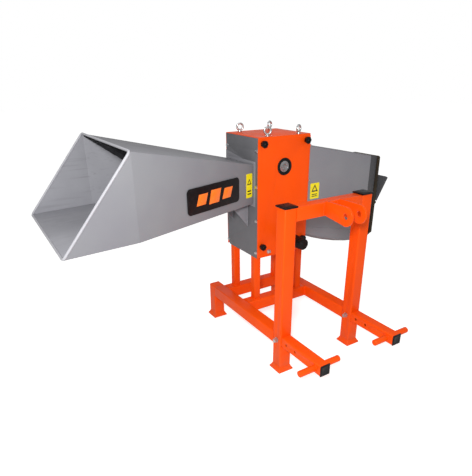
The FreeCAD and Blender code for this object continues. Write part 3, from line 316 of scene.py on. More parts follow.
class Paint(Enum):
    """The finishes that the chipper's pieces share."""

    ORANGE = PowderCoat("orange powder coat", "#F7540A", "#F24F07", gloss=0.14)
    GREY = PowderCoat("grey powder coat", "#87878B", "#828187", 0.42, 0.55)
    # painted light: lighter than GREY to stand for the light reaching inside the hopper; the long scuffs are
    # real wear
    GREY_WORN_AND_LIT = PowderCoat("grey powder coat, chip-worn and painted light", "#A3A3A9", "#9A9AA0", 0.4, 0.55, scuffs=0.3)
    # painted shade: the same grey paint as the hopper, drawn darker on the side plates, which face left, away
    # from the key light
    PLATE_SHADED = PowderCoat("side plate grey, painted shade", "#6E6E71", "#67676B", 0.42, 0.55)
    # painted highlight: the mouth bar is drawn lighter than the hopper grey to stand for the light its round
    # edge catches
    RIM_HIGHLIGHT = PowderCoat("rim grey with painted highlight", "#BCBCC1", "#B2B1B7", 0.35, 0.45)
    # painted shade: a darker grey for the chute's end section and the flap, which face away from the key
    # light
    DARK = PowderCoat("shaded grey powder coat", "#4E4E51", "#48474B", 0.45, 0.6)
    EDGING = PowderCoat("dark edging paint", "#2A241C", "#3B3122", 0.45, 0.6, 0.15)
    # painted shade: near-black for the infeed baffle, standing for the deep shade under the hopper's top
    BLACK = PowderCoat("black for painted shade", "#0C0C0E", "#121214", 0.5, 0.65, 0.04)
    # bright zinc plating on fasteners: a metal with a faint yellow-blue cast and a soft grain
    ZINC = Skin("zinc plated steel", "#D4D6DA", "#A9A38F", (9, 3, 0.42, 0.68, 0, 0.6),
                (3, 3, 0.3, 0.7, 0.18, 0.36), (1.2, 2, 0.05, 0.15), (("Metallic", 1.0),))
    SHAFT = TurnedSteel("turned steel", *STEEL_COLOURS)
    # sand-cast iron with thin black paint: dark, dull and pebbly
    IRON = Skin("painted cast iron", "#2B2C2F", "#3F3B36", (14, 4, 0.4, 0.7), (), (1.8, 3, 0.4, 0.45),
                (("Metallic", 0.35), ("Roughness", 0.55)))
    # injection-moulded polyethylene or polyamide: soft sheen over a spark-eroded texture
    PLASTIC = Skin("moulded black plastic", "#08080A", "#131214", (16, 4, 0.4, 0.7),
                   (7, 3, 0.3, 0.7, 0.28, 0.42), (0.9, 1, 0.08, 0.2),
                   (("IOR", 1.49), ("Specular IOR Level", 0.25)))
    # nitrile rubber: matt, with patches of dusty bloom
    RUBBER = Skin("black rubber", "#0A0A0B", "#1E1C1A", (11, 5, 0.45, 0.7, 0, 0.8), (), (1.4, 2, 0.12, 0.3),
                  (("IOR", 1.52), ("Roughness", 0.66), ("Specular IOR Level", 0.2)))
    YELLOW = vinyl("yellow vinyl", "#F5E400", "#D9C84A")
    BLACK_PRINT = vinyl("black print", "#101010", "#3A3A30")
    ORANGE_PRINT = vinyl("orange print", "#FF7A1E", "#E0702A")


_materials: dict[str, bpy.types.Material] = {}


def finish_of(paint: Paint) -> bpy.types.Material:
    """Give the material of a shared finish, built once."""
    if paint.name not in _materials:
        _materials[paint.name] = paint.value.material()
    return _materials[paint.name]


def fit(piece: Piece, paint: Paint, node: str = "", body: str = "machine") -> Piece:
    """Give a finished piece its looks and its place in the model.

    Args:
        piece: The finished piece.
        paint: The finish of the whole piece, which also names its slot.
        node: The CAD node that it stands for, if any.
        body: The body that carries it.

    Returns:
        The piece.
    """
    piece.data.materials.clear()
    piece.data.materials.append(finish_of(paint))
    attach(piece, body)
    if node:
        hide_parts(node)
    return piece


# ---- bench: selection and modelling
def deselect() -> None:
    """Leave nothing selected, in object mode."""
    if bpy.context.object is not None and bpy.context.object.mode != "OBJECT":
        bpy.ops.object.mode_set(mode="OBJECT")
    bpy.ops.object.select_all(action="DESELECT")


def hold(piece: Piece) -> Piece:
    """Make a piece the only selected and active one."""
    deselect()
    piece.select_set(True)
    bpy.context.view_layer.objects.active = piece
    return piece


def settle(piece: Piece, name: str) -> Piece:
    """Name a piece and put its place into its mesh."""
    hold(piece)
    bpy.ops.object.transform_apply(location=True, rotation=True, scale=True)
    piece.name = name
    piece.data.name = name
    return piece


def spot(x: float, y: float, z: float) -> Vector:
    """Give a point or a step in metres."""
    return Vector((x, y, z))


def aim(direction: Vector) -> Euler:
    """Give the turn that points a primitive's Z axis along a direction."""
    return direction.to_track_quat("Z", "Y").to_euler()


def block(name: str, low: Vector, high: Vector) -> Piece:
    """Start a piece from a cube between two corners."""
    deselect()
    bpy.ops.mesh.primitive_cube_add(size=1, location=(low + high) / 2)
    piece = bpy.context.object
    piece.scale = high - low
    return settle(piece, name)


def bar(name: str, start: Vector, end: Vector, radius: float, sides: int = 48) -> Piece:
    """Start a piece from a cylinder between two points."""
    deselect()
    run = end - start
    bpy.ops.mesh.primitive_cylinder_add(vertices=sides, radius=radius, depth=run.length,
                                        location=(start + end) / 2, rotation=aim(run))
    return settle(bpy.context.object, name)


def hoop(name: str, centre: Vector, axis: Vector, ring: float, wire: float, steps: int = 64,
         sides: int = 20) -> Piece:
    """Start a piece from a torus around an axis."""
    deselect()
    bpy.ops.mesh.primitive_torus_add(location=centre, rotation=aim(axis), major_radius=ring,
                                     minor_radius=wire, major_segments=steps, minor_segments=sides)
    piece = settle(bpy.context.object, name)
    bpy.ops.object.shade_smooth()
    return piece


def pick_faces(piece: Piece, wanted: Callable[[Vector, Vector], bool]) -> int:
    """Select the faces that pass a test and enter edit mode.

    Args:
        piece: The piece to work on.
        wanted: Test on a face's centre and normal.

    Returns:
        How many faces are selected.
    """
    hold(piece)
    for vertex in piece.data.vertices:
        vertex.select = False
    for edge in piece.data.edges:
        edge.select = False
    count = 0
    for face in piece.data.polygons:
        face.select = wanted(face.center, face.normal)
        count += face.select
    bpy.ops.object.mode_set(mode="EDIT")
    bpy.ops.mesh.select_mode(type="FACE")
    return count


def leave_edit() -> None:
    """Return to object mode."""
    bpy.ops.object.mode_set(mode="OBJECT")


def extent(corners: Iterable[Vector]) -> tuple[Vector, Vector]:
    """Give the lowest and highest corner around some points."""
    points = list(corners)
    low = Vector([min(point[axis] for point in points) for axis in range(3)])
    high = Vector([max(point[axis] for point in points) for axis in range(3)])
    return low, high


def step_face(piece: Piece, direction: Vector, *steps: tuple[float, float]) -> None:
    """Work steps into the face on the piece's axis that looks along a direction.

    Args:
        piece: The piece to work on.
        direction: The face's outward direction.
        steps: For each step, how far its edge lies inside the last one, and how far the face then
            moves outwards, negative for inwards.
    """
    for inset, push in steps:
        low, high = extent(vertex.co for vertex in piece.data.vertices)
        middle = (low + high) / 2

        def wanted(centre: Vector, normal: Vector) -> bool:
            offset = centre - middle
            aside = offset - direction * offset.dot(direction)
            return normal.dot(direction) > 0.99 and aside.length < 2 * MM

        if not pick_faces(piece, wanted):
            raise ValueError("no face of %s looks that way" % piece.name)
        bpy.ops.mesh.inset(thickness=inset, depth=0)
        bpy.ops.mesh.extrude_region_move(TRANSFORM_OT_translate={"value": direction * push})
        leave_edit()


def round_edges(piece: Piece, width: float, segments: int = 2, angle: float = 35.0) -> Piece:
    """Round a piece's sharp edges and shade it smooth between them.

    Args:
        piece: The piece to finish.
        width: The rounding's width.
        segments: How many steps the rounding has.
        angle: Edges that turn by more than this, in degrees, are rounded.

    Returns:
        The piece.
    """
    hold(piece)
    edge = piece.modifiers.new("edge", "BEVEL")
    edge.width = width
    edge.segments = segments
    edge.limit_method = "ANGLE"
    edge.angle_limit = math.radians(angle)
    edge.use_clamp_overlap = True
    bpy.ops.object.modifier_apply(modifier=edge.name)
    bpy.ops.object.shade_smooth_by_angle(angle=math.radians(32))
    return piece


def merge(pieces: list[Piece], name: str) -> Piece:
    """Join several meshes into one piece."""
    deselect()
    for piece in pieces:
        piece.select_set(True)
    bpy.context.view_layer.objects.active = pieces[0]
    if len(pieces) > 1:
        bpy.ops.object.join()
    joined = bpy.context.object
    joined.name = name
    joined.data.name = name
    return joined


def loose_copy(node: str, name: str) -> Piece:
    """Copy a CAD node's mesh with its doubles merged and its flat faces whole."""
    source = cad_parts[node]
    mesh = source.data.copy()
    piece = bpy.data.objects.new(name, mesh)
    bpy.context.scene.collection.objects.link(piece)
    piece.data.materials.clear()
    hold(piece)
    if mesh.has_custom_normals:
        bpy.ops.mesh.customdata_custom_splitnormals_clear()
    bpy.ops.object.mode_set(mode="EDIT")
    bpy.ops.mesh.select_all(action="SELECT")
    bpy.ops.mesh.remove_doubles(threshold=TOUCH)
    bpy.ops.mesh.dissolve_limited(angle_limit=math.radians(0.6))
    leave_edit()
    return piece


def soften(node: str, paint: Paint, width_mm: float, segments: int = 2, angle: float = 35.0,
           body: str = "machine") -> Piece:
    """Replace a CAD node by a copy with rounded edges and a finish.

    Args:
        node: The CAD node.
        paint: Its finish.
        width_mm: The rounding's width in millimetres.
        segments: Steps in the rounding.
        angle: Edges that turn by more than this are rounded.
        body: The body it rides on.

    Returns:
        The new piece.
    """
    piece = loose_copy(node, node + "_skin")
    round_edges(piece, width_mm * MM, segments, angle)
    return fit(piece, paint, node, body)


def island_boxes(node: str) -> list[tuple[Vector, Vector]]:
    """Find the separate solids of a CAD node.

    Args:
        node: The CAD node.

    Returns:
        Lowest and highest corner of each solid, from low to high X, then Y, then Z.
    """
    copy = loose_copy(node, node + "_probe")
    hold(copy)
    bpy.ops.mesh.separate(type="LOOSE")
    found = []
    for part in list(bpy.context.selected_objects):
        found.append(extent(vertex.co for vertex in part.data.vertices))
        bpy.data.objects.remove(part, do_unlink=True)
    return sorted(found, key=lambda pair: tuple(round(value, 4) for value in pair[0]))


@dataclass
class Face:
    """A flat face of a CAD node: its middle, its outward normal and its two own directions."""

    middle: Vector
    out: Vector
    across: Vector
    upward: Vector

    def at(self, across: float, upward: float, out: float = 0.0) -> Vector:
        """Give a point measured from the face's middle."""
        return self.middle + self.across * across + self.upward * upward + self.out * out


def face_towards(node: str, direction: Vector) -> Face:
    """Find a CAD node's largest flat face that looks roughly along a direction.

    Args:
        node: The CAD node.
        direction: The wanted outward direction.

    Returns:
        The face, with across horizontal and upward the rest.
    """
    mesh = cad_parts[node].data
    facing = [triangle for triangle in mesh.polygons if triangle.normal.dot(direction) > 0.8]
    largest = max(facing, key=lambda triangle: triangle.area)
    normal = largest.normal.copy()
    level = largest.center.dot(normal)
    flat = [triangle for triangle in facing if triangle.normal.dot(normal) > 0.9999
            and abs(triangle.center.dot(normal) - level) < 0.1 * MM]
    low, high = extent(mesh.vertices[index].co for triangle in flat for index in triangle.vertices)
    across = UP.cross(normal).normalized()
    middle = (low + high) / 2
    middle -= normal * (middle.dot(normal) - level)
    return Face(middle, normal, across, normal.cross(across).normalized())


def flat_shape(name: str, face: Face, outline: list[tuple[float, float]], rise: float, thick: float
               ) -> Piece:
    """Start a thin plate from a disc whose rim is moved to an outline on a face.

    Args:
        name: The piece's name.
        face: The face that it lies on.
        outline: Corners as across and upward distances from the face's middle.
        rise: How far the plate's back stands off the face.
        thick: The plate's thickness.

    Returns:
        The plate.
    """
    deselect()
    bpy.ops.mesh.primitive_circle_add(vertices=len(outline), radius=1, fill_type="NGON")
    piece = bpy.context.object
    for vertex, (across, upward) in zip(piece.data.vertices, outline):
        vertex.co = face.at(across, upward, rise)
    pick_faces(piece, lambda centre, normal: True)
    bpy.ops.mesh.extrude_region_move(TRANSFORM_OT_translate={"value": face.out * thick})
    bpy.ops.mesh.select_all(action="SELECT")
    bpy.ops.mesh.normals_make_consistent(inside=False)
    leave_edit()
    return settle(piece, name)


def rounded_outline(width: float, height: float, corner: float, steps: int = 6) -> list[tuple[float, float]]:
    """Give a rectangle with round corners, centred on its middle, with some steps to each corner."""
    points = []
    for index, (side, level) in enumerate(((1, 1), (-1, 1), (-1, -1), (1, -1))):
        for step in range(steps + 1):
            turn = math.pi / 2 * (index + step / steps)
            points.append((side * (width / 2 - corner) + corner * math.cos(turn),
                           level * (height / 2 - corner) + corner * math.sin(turn)))
    return points


def weld_bead(name: str, start: Vector, end: Vector, size: float) -> Piece:
    """Lay a weld as a row of overlapping ripples.

    Args:
        name: The piece's name.
        start: Where the weld starts.
        end: Where it ends.
        size: Its half width.

    Returns:
        The bead.
    """
    run = end - start
    count = max(2, int(run.length / (size * 0.85)))
    deselect()
    bpy.ops.mesh.primitive_uv_sphere_add(segments=8, ring_count=5, radius=size, location=start,
                                         rotation=aim(run))
    bead = settle(bpy.context.object, name)
    row = bead.modifiers.new("row", "ARRAY")
    row.use_relative_offset = False
    row.use_constant_offset = True
    row.constant_offset_displace = run / (count - 1)
    row.count = count
    bpy.ops.object.modifier_apply(modifier=row.name)
    bpy.ops.object.shade_smooth()
    return bead


def seam(low: Vector, high: Vector, axis: str, first: float, last: float, **fixed: float) -> Seam:
    """Give a weld's line along a box.

    Args:
        low: The box's lowest corner.
        high: Its highest corner.
        axis: The axis that the weld follows.
        first: How far it starts inside the box.
        last: How far it ends inside the box.
        fixed: Where it lies on the other axes.

    Returns:
        The line's two ends.
    """
    start, end = low.copy(), high.copy()
    for name, value in fixed.items():
        setattr(start, name, value)
        setattr(end, name, value)
    setattr(start, axis, getattr(low, axis) + first)
    setattr(end, axis, getattr(high, axis) - last)
    return start, end


def weld_lines(name: str, lines: Iterable[Seam], size: float, paint: Paint) -> Piece:
    """Lay several welds and join them into one painted piece."""
    beads = [weld_bead("%s_%d" % (name, index), start, end, size) for index, (start, end) in enumerate(lines)]
    return fit(merge(beads, name), paint)


# ---- fasteners
@dataclass
class HexBolt:
    """Hexagon-head bolt with a chamfered crown, on a flat washer."""

    across_flats: float
    head: float
    washer_radius: float
    washer_thick: float = 1.6 * MM
    washer_edge: float = 0.35 * MM
    head_edge: float = 0.55 * MM
    crown_inset: float = 0.05
    crown_rise: float = 0.10

    def build(self, name: str, seat: Vector, direction: Vector) -> Piece:
        """Make one bolt whose head stands out from a seat.

        Args:
            name: The bolt's name.
            seat: Middle of the washer's underside.
            direction: The way the head points.

        Returns:
            The bolt.
        """
        top = seat + direction * self.washer_thick
        washer = bar(name + "_washer", seat, top, self.washer_radius, 40)
        round_edges(washer, self.washer_edge)
        head = bar(name, top, top + direction * self.head, self.across_flats / math.sqrt(3), 6)
        step_face(head, direction, (self.across_flats * self.crown_inset, self.head * self.crown_rise))
        round_edges(head, self.head_edge, 3, 25)
        return merge([head, washer], name)


@dataclass
class Fasteners:
    """Bolts of the side plate, the cover and the hitch arms, and the heads along the chute's root."""

    wall_bolt: HexBolt = field(default_factory=lambda: HexBolt(13 * MM, 5.5 * MM, 8.5 * MM))
    cover_bolt: HexBolt = field(default_factory=lambda: HexBolt(17 * MM, 7 * MM, 11 * MM, 2 * MM))
    clamp_nut: HexBolt = field(default_factory=lambda: HexBolt(19 * MM, 8.5 * MM, 12 * MM, 2.5 * MM))
    clamp_head: HexBolt = field(default_factory=lambda: HexBolt(17 * MM, 5.5 * MM, 7 * MM, 0.5 * MM))
    wall_proud: float = 4 * MM
    root_inset: float = 2 * MM
    root_levels: tuple[float, ...] = (29 * MM, 193 * MM, 357 * MM, 524 * MM)

    def build(self) -> list[Piece]:
        """Build every bolt group."""
        return [self.flange(), self.clamps(), self.root()]

    def flange(self) -> Piece:
        """Bolts of the infeed side plate and of the front cover."""
        left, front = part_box("infeed_side_plate")[0].x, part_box("front_cover")[0].y
        walls, covers = [], []
        for index, (low, high) in enumerate(island_boxes("housing_bolts")):
            middle = (low + high) / 2
            if low.x < left - self.wall_proud:
                seat = spot(left, middle.y, middle.z)
                walls.append(self.wall_bolt.build("wall_bolt_%d" % index, seat, LEFT))
            else:
                seat = spot(middle.x, front, middle.z)
                covers.append(self.cover_bolt.build("cover_bolt_%d" % index, seat, FRONT))
        return fit(merge(walls + covers, "flange_bolts"), Paint.ZINC, "housing_bolts")

    def clamps(self) -> Piece:
        """Clamp screws of the hitch arms, each with its lock nut."""
        made = []
        for side, (low, high) in zip(SIDES, island_boxes("hitch_lock_bolts")):
            middle = (low + high) / 2
            seat = spot(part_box(side + "_upright")[0].x, middle.y, middle.z)
            top = seat + LEFT * (self.clamp_nut.head + self.clamp_nut.washer_thick)
            made += [self.clamp_nut.build(side + "_clamp_nut", seat, LEFT),
                     self.clamp_head.build(side + "_clamp_head", top, LEFT)]
        return fit(merge(made, "clamp_bolts"), Paint.ZINC, "hitch_lock_bolts")

    def root(self) -> Piece:
        """Heads along the chute's root, on the discharge side plate."""
        low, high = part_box("discharge_side_plate")
        heads = []
        for index, level in enumerate(self.root_levels):
            seat = spot(high.x, low.y + self.root_inset, low.z + level)
            heads.append(self.wall_bolt.build("root_bolt_%d" % index, seat, RIGHT))
        return fit(merge(heads, "chute_root_bolts"), Paint.ZINC)


# ---- frame
@dataclass
class HitchFrame:
    """Square-tube frame: uprights, rails, crossmembers, legs, mast bar, ears, feet and plugs.

    Each step of a foot's skirt is a share of the sole's half width and a height.
    """

    tube_edge_mm: float = 0.7
    ear_edge_mm: float = 1.6
    weld: float = 2.4 * MM
    sole: float = 6 * MM
    skirt: Steps = ((0.93, 4 * MM), (0.82, 6 * MM), (0.76, 8 * MM))
    foot_edge: float = 3.6 * MM
    plug_head: float = 7 * MM
    plug_steps: Steps = ((7 * MM, 1.4 * MM), (8 * MM, 0.6 * MM))
    plug_edge: float = 3.0 * MM

    def build(self) -> list[Piece]:
        """Build the frame's pieces."""
        tubes = ("left_upright", "right_upright", "left_rail", "right_rail", "rear_legs", "crossmembers",
                 "mast_crossbar", "housing_posts")
        made = [soften(node, Paint.ORANGE, self.tube_edge_mm) for node in tubes]
        made.append(soften("top_link_ears", Paint.ORANGE, self.ear_edge_mm, 3))
        return made + [self.feet(), self.plugs(), self.welds()]

    def feet(self) -> Piece:
        """Pressed feet: a flared skirt that hugs the leg and a rounded sole."""
        feet = []
        for index, (low, high) in enumerate(island_boxes("foot_plates")):
            foot = block("foot_%d" % index, low, spot(high.x, high.y, low.z + self.sole))
            middle = (low + high) / 2
            for share, rise in self.skirt:
                top = max(vertex.co.z for vertex in foot.data.vertices) - TOUCH
                pick_faces(foot, lambda centre, normal: normal.z > 0.9 and centre.z > top
                           and (centre - middle).xy.length < 1 * MM)
                bpy.ops.mesh.extrude_region_move(TRANSFORM_OT_translate={"value": UP * rise})
                leave_edit()
                half = (high.x - low.x) / 2 * share
                for vertex in foot.data.vertices:
                    if vertex.co.z > top + rise:
                        vertex.co.x = middle.x + math.copysign(half, vertex.co.x - middle.x)
                        vertex.co.y = middle.y + math.copysign(half, vertex.co.y - middle.y)
            round_edges(foot, self.foot_edge, 4, 12)
            feet.append(foot)
        return fit(merge(feet, "pressed_feet"), Paint.ORANGE, "foot_plates")

    def plugs(self) -> Piece:
        """Ribbed plastic plugs in the uprights' tops."""
        plugs = []
        for index, (low, high) in enumerate(island_boxes("upright_caps")):
            plug = block("plug_%d" % index, spot(low.x, low.y, high.z - self.plug_head), high)
            step_face(plug, UP, *self.plug_steps)
            round_edges(plug, self.plug_edge, 4, 20)
            plugs.append(plug)
        return fit(merge(plugs, "upright_plugs"), Paint.PLASTIC, "upright_caps")

    def welds(self) -> Piece:
        """Fillet welds where the members meet; each ends a few millimetres before the corners."""
        lines: list[Seam] = []
        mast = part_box("mast_crossbar")
        under = mast[0].z
        for ear in island_boxes("top_link_ears"):
            lines += [seam(*mast, "z", 8 * MM, 4 * MM, x=corner.x, y=mast[0].y - 0.5 * MM) for corner in ear]
        for corner in mast:
            lines += [seam(*mast, "y", 6 * MM, 6 * MM, x=corner.x, z=under),
                      seam(*mast, "z", 4 * MM, 4 * MM, x=corner.x, y=mast[1].y)]
        for side in SIDES:
            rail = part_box(side + "_rail")
            lines += [seam(*rail, "x", 5 * MM, 5 * MM, y=rail[0].y, z=corner.z) for corner in rail]
        for tube in island_boxes("crossmembers"):
            lines += [seam(*tube, "z", 5 * MM, 5 * MM, x=across.x, y=along.y)
                      for across in tube for along in tube]
        for post in island_boxes("housing_posts"):
            foot = post[0].z
            lines += [seam(*post, "x", 2 * MM, 2 * MM, y=corner.y, z=foot) for corner in post]
            lines += [seam(*post, "y", 2 * MM, 2 * MM, x=corner.x, z=foot) for corner in post]
        return weld_lines("frame_welds", lines, self.weld, Paint.ORANGE)


@dataclass
class HitchArm:
    """One telescopic hitch arm with its cross pin and end plug."""

    side: str
    arm_edge_mm: float = 0.7
    pin_edge_mm: float = 1.6
    plug_thick: float = 4 * MM
    plug_steps: Steps = ((5 * MM, 1.0 * MM), (3 * MM, -0.8 * MM))
    plug_edge: float = 1.2 * MM
    weld: float = 2.2 * MM

    def build(self) -> list[Piece]:
        """Build the arm's pieces."""
        body = self.side + "_arm"
        arm = soften(self.side + "_hitch_arm", Paint.ORANGE, self.arm_edge_mm, body=body)
        pin = soften(self.side + "_hitch_pin", Paint.ORANGE, self.pin_edge_mm, 3, 25, body)
        low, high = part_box(self.side + "_arm_cap")
        plug = block(self.side + "_arm_plug", low, spot(high.x, low.y + self.plug_thick, high.z))
        step_face(plug, FRONT, *self.plug_steps)
        round_edges(plug, self.plug_edge, 3, 25)
        fit(plug, Paint.PLASTIC, self.side + "_arm_cap", body)
        low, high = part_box(self.side + "_hitch_pin")
        middle = (low + high) / 2
        collars = [hoop("%s_pin_weld_%d" % (self.side, index), spot(wall.x, middle.y, middle.z), RIGHT,
                        (high.z - low.z) / 2, self.weld, 40, 10)
                   for index, wall in enumerate(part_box(self.side + "_hitch_arm"))]
        welds = fit(merge(collars, self.side + "_pin_welds"), Paint.ORANGE, body=body)
        return [arm, pin, plug, welds]


# ---- housing
@dataclass
class Housing:
    """Rotor housing: side plates, bent shell, cover, viewing ring, knobs and lifting eyes.

    Each step of a turned or moulded face is an inset and a push outwards.
    """

    lip: float = 5.5 * MM
    lip_squash: float = 0.9
    sleeve: float = 3.5 * MM
    hub_radius: float = 25 * MM
    hub_proud: float = 0.4 * MM
    hub_steps: Steps = ((4 * MM, -0.8 * MM), (5 * MM, 1.8 * MM), (4 * MM, -0.6 * MM))
    hub_bolt: HexBolt = field(default_factory=lambda: HexBolt(10 * MM, 3.2 * MM, 8 * MM, 1.0 * MM))
    knob_lobes: int = 7
    knob_waist: float = 0.82
    eye_ring: float = 15 * MM
    eye_wire: float = 4.8 * MM
    eye_turn: float = 20.0
    collar_radius: float = 10.5 * MM
    collar_height: float = 4.5 * MM
    collar_step: tuple[float, float] = (3.4 * MM, 2.6 * MM)

    def build(self) -> list[Piece]:
        """Build the housing's pieces."""
        made = [
            # painted shade: both side plates take the darker copy of the grey
            soften("infeed_side_plate", Paint.PLATE_SHADED, 0.9),
            soften("discharge_side_plate", Paint.PLATE_SHADED, 0.9),
            soften("rear_top_shell", Paint.ORANGE, 0.9),
            soften("bottom_plate", Paint.ORANGE, 0.8),
            soften("front_cover", Paint.ORANGE, 1.4, 4),
            soften("bearing_plate", Paint.GREY, 0.8),
            self.view_ring(),
            self.hub(),
            self.lifting_eyes(),
        ]
        for side in SIDES:
            for level in ("upper", "lower"):
                made += self.knob("%s_%s_knob" % (level, side))
        return made

    def view_ring(self) -> Piece:
        """Rubber grommet with a fat round lip."""
        low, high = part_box("view_ring")
        centre = (low + high) / 2
        radius = (high.x - low.x) / 2
        lip = hoop("grommet_lip", spot(centre.x, 0, centre.z), BACK, radius - self.lip, self.lip, 72)
        for vertex in lip.data.vertices:
            vertex.co.y = low.y + 5 * MM + vertex.co.y * self.lip_squash
        sleeve = hoop("grommet_sleeve", spot(centre.x, high.y - 2 * MM, centre.z), BACK,
                      radius - 7.5 * MM, self.sleeve, 72, 12)
        return fit(merge([lip, sleeve], "grommet"), Paint.RUBBER, "view_ring")

    def hub(self) -> Piece:
        """Turned end of the rotor shaft, seen through the grommet."""
        low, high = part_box("rotor_shaft")
        centre = spot((low.x + high.x) / 2, low.y, (low.z + high.z) / 2)
        seat = centre + FRONT * self.hub_proud
        face = bar("shaft_end", centre + BACK * 3 * MM, seat, self.hub_radius, 64)
        step_face(face, FRONT, *self.hub_steps)
        round_edges(face, 0.5 * MM, 2, 20)
        piece = merge([face, self.hub_bolt.build("shaft_end_bolt", seat, FRONT)], "rotor_hub")
        piece.data.materials.clear()
        steel = TurnedSteel("turned hub steel", *STEEL_COLOURS, centre=tuple(centre))
        piece.data.materials.append(steel.material())
        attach(piece, "rotor")
        return piece

    def knob(self, node: str) -> list[Piece]:
        """Lobed clamping knob with a black-painted iron insert."""
        low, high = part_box(node)
        radius = (high.x - low.x) / 2
        tip = spot((low.x + high.x) / 2, low.y, (low.z + high.z) / 2)
        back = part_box("front_cover")[0].y - 0.4 * MM
        grip = bar(node + "_grip", spot(tip.x, back, tip.z), tip, radius, 56)
        for vertex in grip.data.vertices:
            away = (vertex.co - tip).xz
            if away.length < radius / 2:
                continue
            share = 0.945 + 0.05 * math.cos(self.knob_lobes * math.atan2(away.y, away.x))
            if vertex.co.y > back - 1 * MM:
                share *= self.knob_waist
            vertex.co.xz = tip.xz + away * share
        step_face(grip, FRONT, (radius * 0.42, -1.6 * MM))
        round_edges(grip, 1.5 * MM, 3, 40)
        insert = bar(node + "_insert", tip + BACK * 3 * MM, tip + BACK * 1.2 * MM, radius * 0.2, 32)
        step_face(insert, FRONT, (radius * 0.07, 0.4 * MM))
        round_edges(insert, 0.4 * MM, 2, 20)
        return [fit(grip, Paint.PLASTIC, node, node), fit(insert, Paint.IRON, body=node)]

    def lifting_eyes(self) -> Piece:
        """Forged eye bolts with a waisted neck and a round collar."""
        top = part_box("rear_top_shell")[1].z
        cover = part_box("front_cover")
        eyes = []
        for index, (low, high) in enumerate(island_boxes("lifting_eyes")):
            foot = spot((low.x + high.x) / 2, (low.y + high.y) / 2, top)
            sign = -1 if foot.x < (cover[0].x + cover[1].x) / 2 else 1
            axis = Matrix.Rotation(math.radians(self.eye_turn * sign), 3, "Z") @ BACK
            level = high.z - self.eye_ring - self.eye_wire
            ring = hoop("eye_ring_%d" % index, spot(foot.x, foot.y, level), axis, self.eye_ring,
                        self.eye_wire, 56, 18)
            neck = foot + UP * self.collar_height
            collar = bar("eye_collar_%d" % index, foot, neck, self.collar_radius, 40)
            step_face(collar, UP, self.collar_step)
            round_edges(collar, 0.9 * MM, 3, 25)
            nut = bar("eye_nut_%d" % index, foot - UP * 10 * MM, foot - UP * 3 * MM, 9 * MM, 6)
            round_edges(nut, 0.5 * MM, 2)
            eyes += [ring, collar, nut]
        return fit(merge(eyes, "forged_eyes"), Paint.ZINC, "lifting_eyes")


# ---- rotor and drive
@dataclass
class Drive:
    """Rotor, knives, hammers, pulleys, belt, drive shaft and the cap over its stub."""

    cap_steps: Steps = ((4 * MM, 2 * MM), (6 * MM, -2.4 * MM), (5 * MM, 1.2 * MM))
    ribs: int = 18
    rib_depth: float = 2.2 * MM
    rib_half: float = 1.6 * MM
    hem: float = 2.6 * MM
    knife_screw: HexBolt = field(default_factory=lambda: HexBolt(10 * MM, 3 * MM, 7 * MM, 1 * MM))
    screw_inset: float = 20 * MM
    screw_shares: tuple[float, ...] = (0.18, 0.50, 0.82)

    def build(self) -> list[Piece]:
        """Dress the moving iron and build the cap."""
        steel = {
            "rotor_shaft": "rotor", "rotor_discs": "rotor", "knife_bars": "rotor", "hammer_rods": "rotor",
            "drive_shaft": "drive", "upper_hammers": "upper_hammer_set", "lower_hammers": "lower_hammer_set",
            "counter_knife": "machine", "rotor_screen": "machine", "chip_ramp": "machine",
        }
        iron = {"rotor_pulley": "rotor", "drive_pulley": "drive", "shaft_bearings": "machine"}
        made = [soften(node, Paint.SHAFT, 0.6, body=body) for node, body in steel.items()]
        made += [soften(node, Paint.IRON, 0.8, body=body) for node, body in iron.items()]
        return made + [soften("drive_belt", Paint.RUBBER, 1.2), self.cap(), self.knife_screws()]

    def cap(self) -> Piece:
        """Moulded cap: stepped nose, grip ribs and a turned-up hem."""
        low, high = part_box("drive_cap")
        centre = (low + high) / 2
        radius = (high.x - low.x) / 2
        shell = bar("cap_shell", spot(centre.x, high.y, centre.z), spot(centre.x, low.y + 2 * MM, centre.z),
                    radius - 1.2 * MM, 64)
        step_face(shell, FRONT, *self.cap_steps)
        round_edges(shell, 1.0 * MM, 3, 25)
        outer = centre.x + radius
        rib = block("cap_rib", spot(outer - self.rib_depth, low.y + 10 * MM, centre.z - self.rib_half),
                    spot(outer, high.y - 16 * MM, centre.z + self.rib_half))
        round_edges(rib, 0.9 * MM, 2)
        bpy.ops.object.mode_set(mode="EDIT")
        bpy.ops.mesh.select_all(action="SELECT")
        bpy.ops.mesh.spin(steps=self.ribs, dupli=True, angle=math.tau, center=centre, axis=BACK)
        bpy.ops.mesh.select_all(action="SELECT")
        bpy.ops.mesh.remove_doubles(threshold=TOUCH)
        bpy.ops.mesh.normals_make_consistent(inside=False)
        leave_edit()
        hem = hoop("cap_hem", spot(centre.x, high.y - 3 * MM, centre.z), BACK, radius - 2.4 * MM, self.hem,
                   64, 14)
        return fit(merge([shell, rib, hem], "stub_cover"), Paint.PLASTIC, "drive_cap", "stub_cap")

    def knife_screws(self) -> Piece:
        """Screws along both knife bars."""
        low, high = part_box("knife_bars")
        screws = []
        for sign, edge, level in ((-1, low.x, low.z), (1, high.x, high.z)):
            for step, share in enumerate(self.screw_shares):
                seat = spot(edge - sign * self.screw_inset, low.y + (high.y - low.y) * share, level)
                screws.append(self.knife_screw.build("knife_screw_%d_%d" % (sign + 1, step), seat, UP * sign))
        return fit(merge(screws, "knife_screws"), Paint.ZINC, body="rotor")


